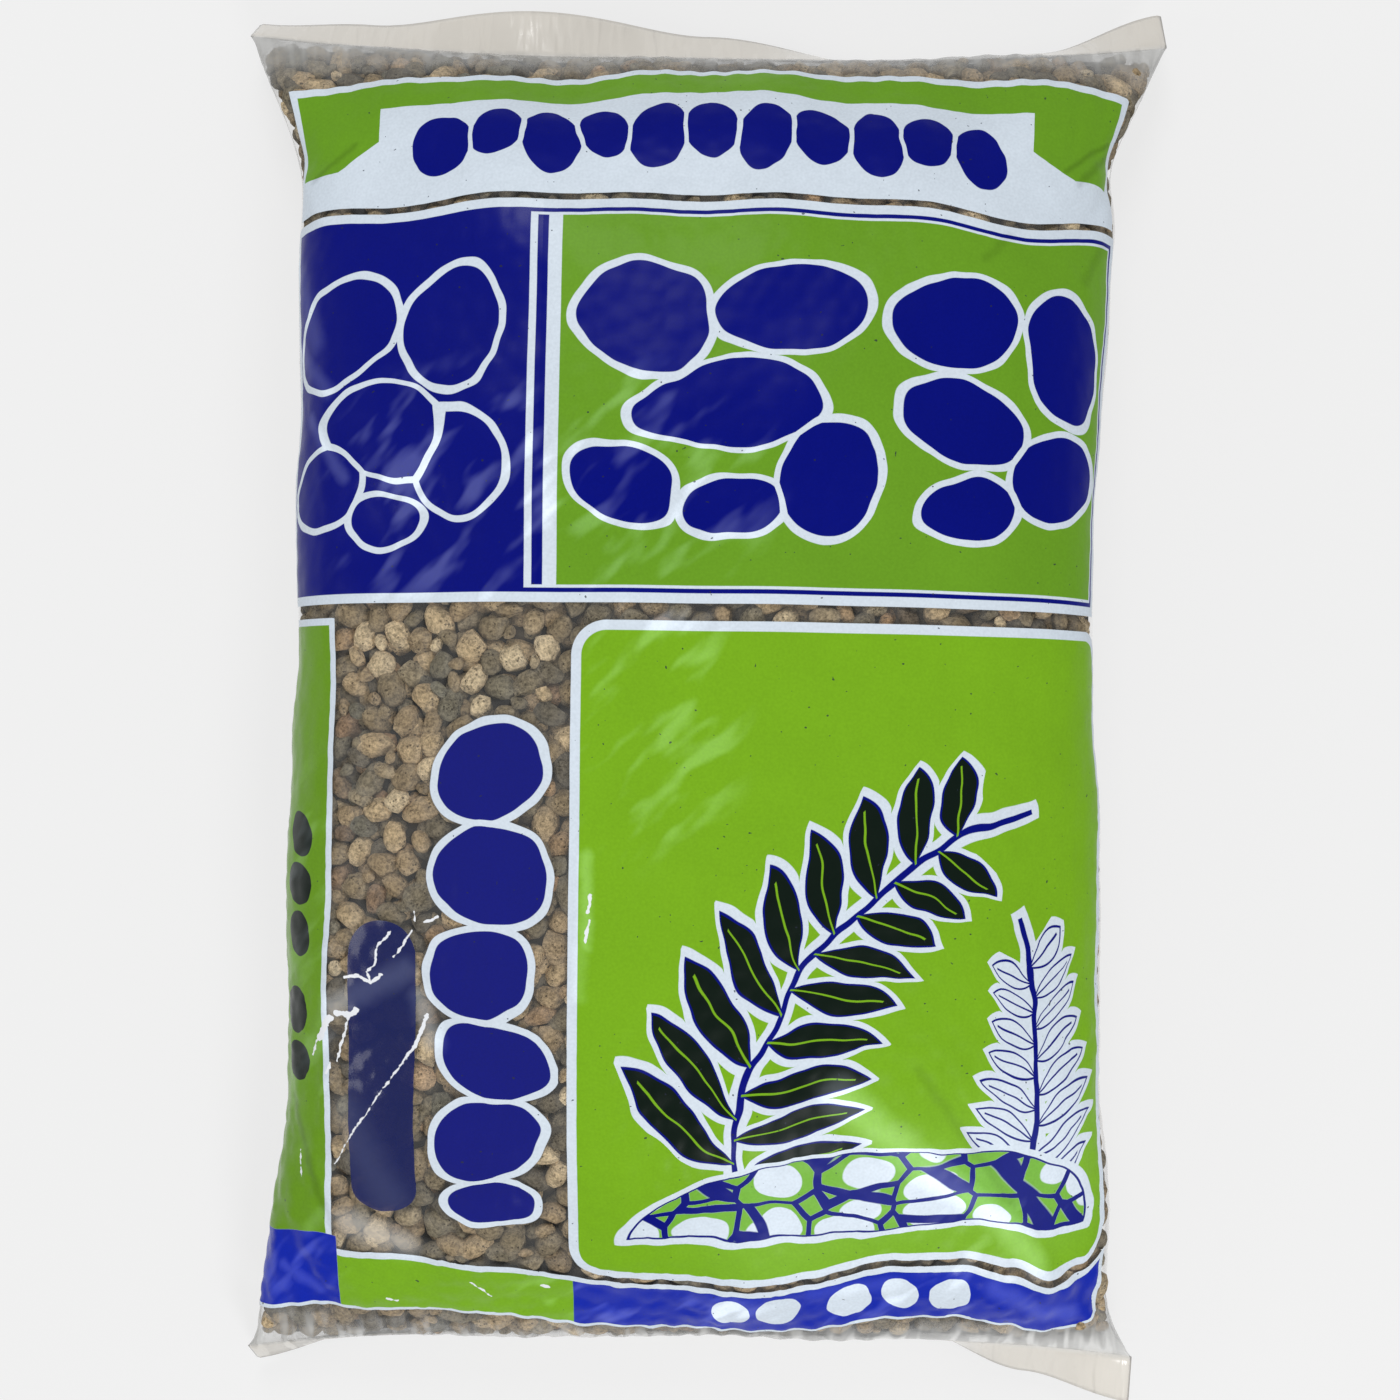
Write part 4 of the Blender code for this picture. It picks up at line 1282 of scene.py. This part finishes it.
def film_surface(art, gloss, roughness, region=None):
    """The film itself: its gloss, its fine creases and how milky it is away from the grains."""
    place = art.place()
    touch, from_weld = art.attribute("touch"), art.attribute("from_weld")
    fleck = art.noise(place, 900.0, 0.0)
    near_end = 1.0 - art.ramp(from_weld, 0.002, 0.042)
    flap = 1.0 - art.ramp(from_weld, -0.003, 0.003)
    # Whitish streaks near the welds: milkier film along the wrinkles, partly painted highlight on their
    # crests
    streak = art.ramp(art.noise(art.vector(art.a, art.b * 0.16), 0.17, 1.0, 0.6), 0.44, 0.68)
    top = art.b > 0.0
    right_side = art.ramp(art.a, -60.0, 90.0)
    ends = 0.28 + top * 0.26 + streak * (0.50 - top * 0.30) + right_side * (1.0 - top) * 0.42
    folded = 1.0 - art.ramp(abs(abs(art.a) - FILM_WIDTH / 2 / MM), 0.0, 9.0)
    milk = MILK + (1.0 - touch) * MILK_BETWEEN + folded * MILK_FOLDED + near_end * ends
    milk = art.madd(flap, MILK_FLAP, milk, clamp=True)
    haze = art.mix(flap, art.mix(top, HAZE_LOW, HAZE), FLAP_HAZE)
    colour = haze
    if art.cover:
        cloud = art.noise(place, 34.0, 1.0)
        speck = art.ramp(art.noise(place, 620.0, 0.0), 0.845, 0.86)
        inked = art.multiply(art.colour, 0.88 + fleck * 0.14 + cloud * 0.12)
        inked = art.mix(speck * 0.8, inked, SPECK)
        colour = art.mix(art.ramp(art.cover, 0.0, 0.5), haze, inked)
        milk = art.high(milk, art.cover)
    if region:
        painted_glint, light, dark = creased(art, region)
        # Painted sheen and painted shade of the folds and crumples: the colour is made lighter or darker
        colour = art.multiply(colour, (1.0 + light) * (1.0 - dark))
        # Painted sheen also pales the colour towards white
        colour = art.mix(light * 0.24, colour, WHITE)
        # Painted glints: the crease lines turn near white and opaque, in place of reflected light
        colour = art.mix(painted_glint, colour, GLINT)
        milk = art.high(milk, painted_glint, light)
    crinkle = art.noise(place, 80.0, 1.0, 0.5)
    art.set(Base_Color=colour, Alpha=milk, Roughness=roughness, IOR=1.5, Specular_IOR_Level=gloss)
    art.bump(crinkle * 0.7 + near_end * streak * 0.8, 0.0005)
    return art.material


def printed_finish(region):
    """The film of one region, with its print."""
    art = Print(region + "_print")
    INKS[region](art)
    if region in OVALS:
        reach, pitch, style = OVAL_STYLES[region]
        art.stones(*art.wavy(reach, 1 / pitch), OVALS[region], **style)
    return film_surface(art, *GLOSS.get(region, PRINT_GLOSS), region)


def grain_finish():
    """Porous stone: each grain has its own tone and hue, with mottling and dark pores."""
    finish = Finish("porous_grit")
    place, tone, hue = finish.place(), finish.attribute("tone"), finish.attribute("hue")
    stops = ((0.0, srgb(108, 101, 88)), (0.22, srgb(132, 122, 101)), (0.45, srgb(156, 138, 109)),
             (0.70, srgb(172, 150, 118)), (0.88, srgb(200, 176, 138)), (1.0, srgb(224, 204, 168)))
    stone = finish.node("ShaderNodeValToRGB", {"stops": stops}, Fac=tone).outputs[0]
    stone = finish.mix(finish.ramp(hue, 0.90, 0.99) * 0.5, stone, srgb(180, 138, 104))
    stone = finish.mix((1.0 - finish.ramp(hue, 0.05, 0.25)) * 0.5, stone, srgb(126, 126, 112))
    mottle = finish.noise(place, 640.0, 4.0, 0.72)
    blotch = finish.noise(place, 150.0, 2.0)
    pits = finish.cells(place, 640.0)
    pore = (1.0 - finish.ramp(pits, 0.10, 0.34)) * finish.ramp(finish.noise(place, 230.0, 1.0), 0.48, 0.62)
    stone = finish.multiply(stone, 0.19 + finish.ramp(mottle, 0.30, 0.70) * 0.90 + blotch * 0.68)
    stone = finish.mix(pore * 0.62, stone, srgb(52, 42, 32))
    finish.set(Base_Color=stone, Roughness=0.94, Specular_IOR_Level=0.2)
    finish.bump(mottle * 1.3 - pore * 0.9 + blotch * 0.6, 0.0011)
    return finish.material


def core_shade_finish():
    finish = Finish("grit_depth_shade")
    lumps = finish.cells(finish.place(), 110.0)
    # Painted shade: the deep grit is dark brown, and near black at the edges of its lumps
    dark = finish.mix(finish.ramp(lumps, 0.1, 0.7), srgb(84, 74, 60), srgb(24, 20, 16))
    finish.set(Base_Color=dark, Roughness=1.0)
    finish.bump(1.0 - lumps, 0.004)
    return finish.material


# Camera: straight above, at the distance and turn at which the photograph was taken
CAMERA_HEIGHT = 0.92
CAMERA_LENS = 52.7
CAMERA_ROLL = 0.75
SENSOR = 36.0

# Lamps: place, size, watts. They all point at one place.
LAMPS = {
    "head_light": ((-0.2, 1.35, 1.65), 0.8, 13.5),
    "foot_light": ((0.45, -1.05, 1.15), 0.5, 9.0),
    "window_light": ((-1.5, -0.2, 0.9), 0.6, 3.0),
}
LAMP_AIM = (0.0, 0.0, 0.05)
WORLD_STRENGTH = 0.42
# Floor: its size, how far it lies under the sack, and the share of plain white that the camera sees in it
FLOOR_SIZE = 8.0
FLOOR_DROP = 0.0004
FLOOR_GLOW = 0.72


def lamp(name, place, size, power):
    data = bpy.data.lights.new(name, "AREA")
    data.shape, data.size, data.energy = "DISK", size, power
    made = linked(name, data)
    made.location = place
    made.rotation_euler = (Vector(LAMP_AIM) - Vector(place)).to_track_quat("-Z", "Y").to_euler()


def camera():
    data = bpy.data.cameras.new("camera")
    data.sensor_width, data.lens = SENSOR, CAMERA_LENS
    made = bpy.context.scene.camera = linked("camera", data)
    made.location = (0.0, 0.0, CAMERA_HEIGHT)
    made.rotation_euler = (0.0, 0.0, math.radians(CAMERA_ROLL))


def floor():
    """A pale floor, near white to the camera, through film and in reflections, with the sack's shadow."""
    finish = Finish("pale_floor")
    finish.set(Base_Color=srgb(204, 204, 204), Roughness=0.9, Specular_IOR_Level=0.1)
    path = finish.node("ShaderNodeLightPath")
    rays = ("Is Camera Ray", "Is Glossy Ray", "Is Transmission Ray")
    seen = finish.high(*(finish.out(path, name) for name in rays))
    glow = finish.node("ShaderNodeEmission", Color=(1, 1, 1, 1), Strength=1.0).outputs[0]
    mixed = finish.node("ShaderNodeMixShader", _0=seen * FLOOR_GLOW, _1=finish.shader.outputs[0], _2=glow)
    finish.feed(finish.tree.nodes["Material Output"].inputs[0], mixed.outputs[0])
    bpy.ops.object.select_all(action="DESELECT")
    bpy.ops.mesh.primitive_plane_add(size=FLOOR_SIZE, location=(0, 0, -FLOOR_DROP))
    made = bpy.context.object
    made.name = "floor"
    made.data.materials.append(finish.material)


def world():
    made = bpy.data.worlds.new("studio")
    bpy.context.scene.world = made
    made.use_nodes = True
    background = made.node_tree.nodes["Background"]
    background.inputs["Color"].default_value = (1.0, 1.0, 1.0, 1.0)
    background.inputs["Strength"].default_value = WORLD_STRENGTH


def main():
    film = Film()
    film.settle(*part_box("film_bag"))
    film.push(broad_relief(film))
    grains = scatter(film, GRAIN_SEED, GRAIN_RADII, GRAIN_TRIES, GRAIN_GAP, film.holds)
    sag, touch = grain_contact(film, grains, np.random.default_rng(CONTACT_SEED))
    film.push(sag)

    pieces = grit_pieces(film, grains)
    stone = grain_finish()
    for piece in pieces:
        piece.data.materials.append(stone)
    core = core_piece(film)
    core.data.materials.append(core_shade_finish())
    skin = film_piece(film, touch)

    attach(skin, "root")
    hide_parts("film_bag")
    for piece in [*pieces, core]:
        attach(piece, "root")
        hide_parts("grit")

    for name, (place, size, power) in LAMPS.items():
        lamp(name, place, size, power)
    world()
    floor()
    camera()
    bpy.context.scene.view_settings.view_transform = "Standard"


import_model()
main()
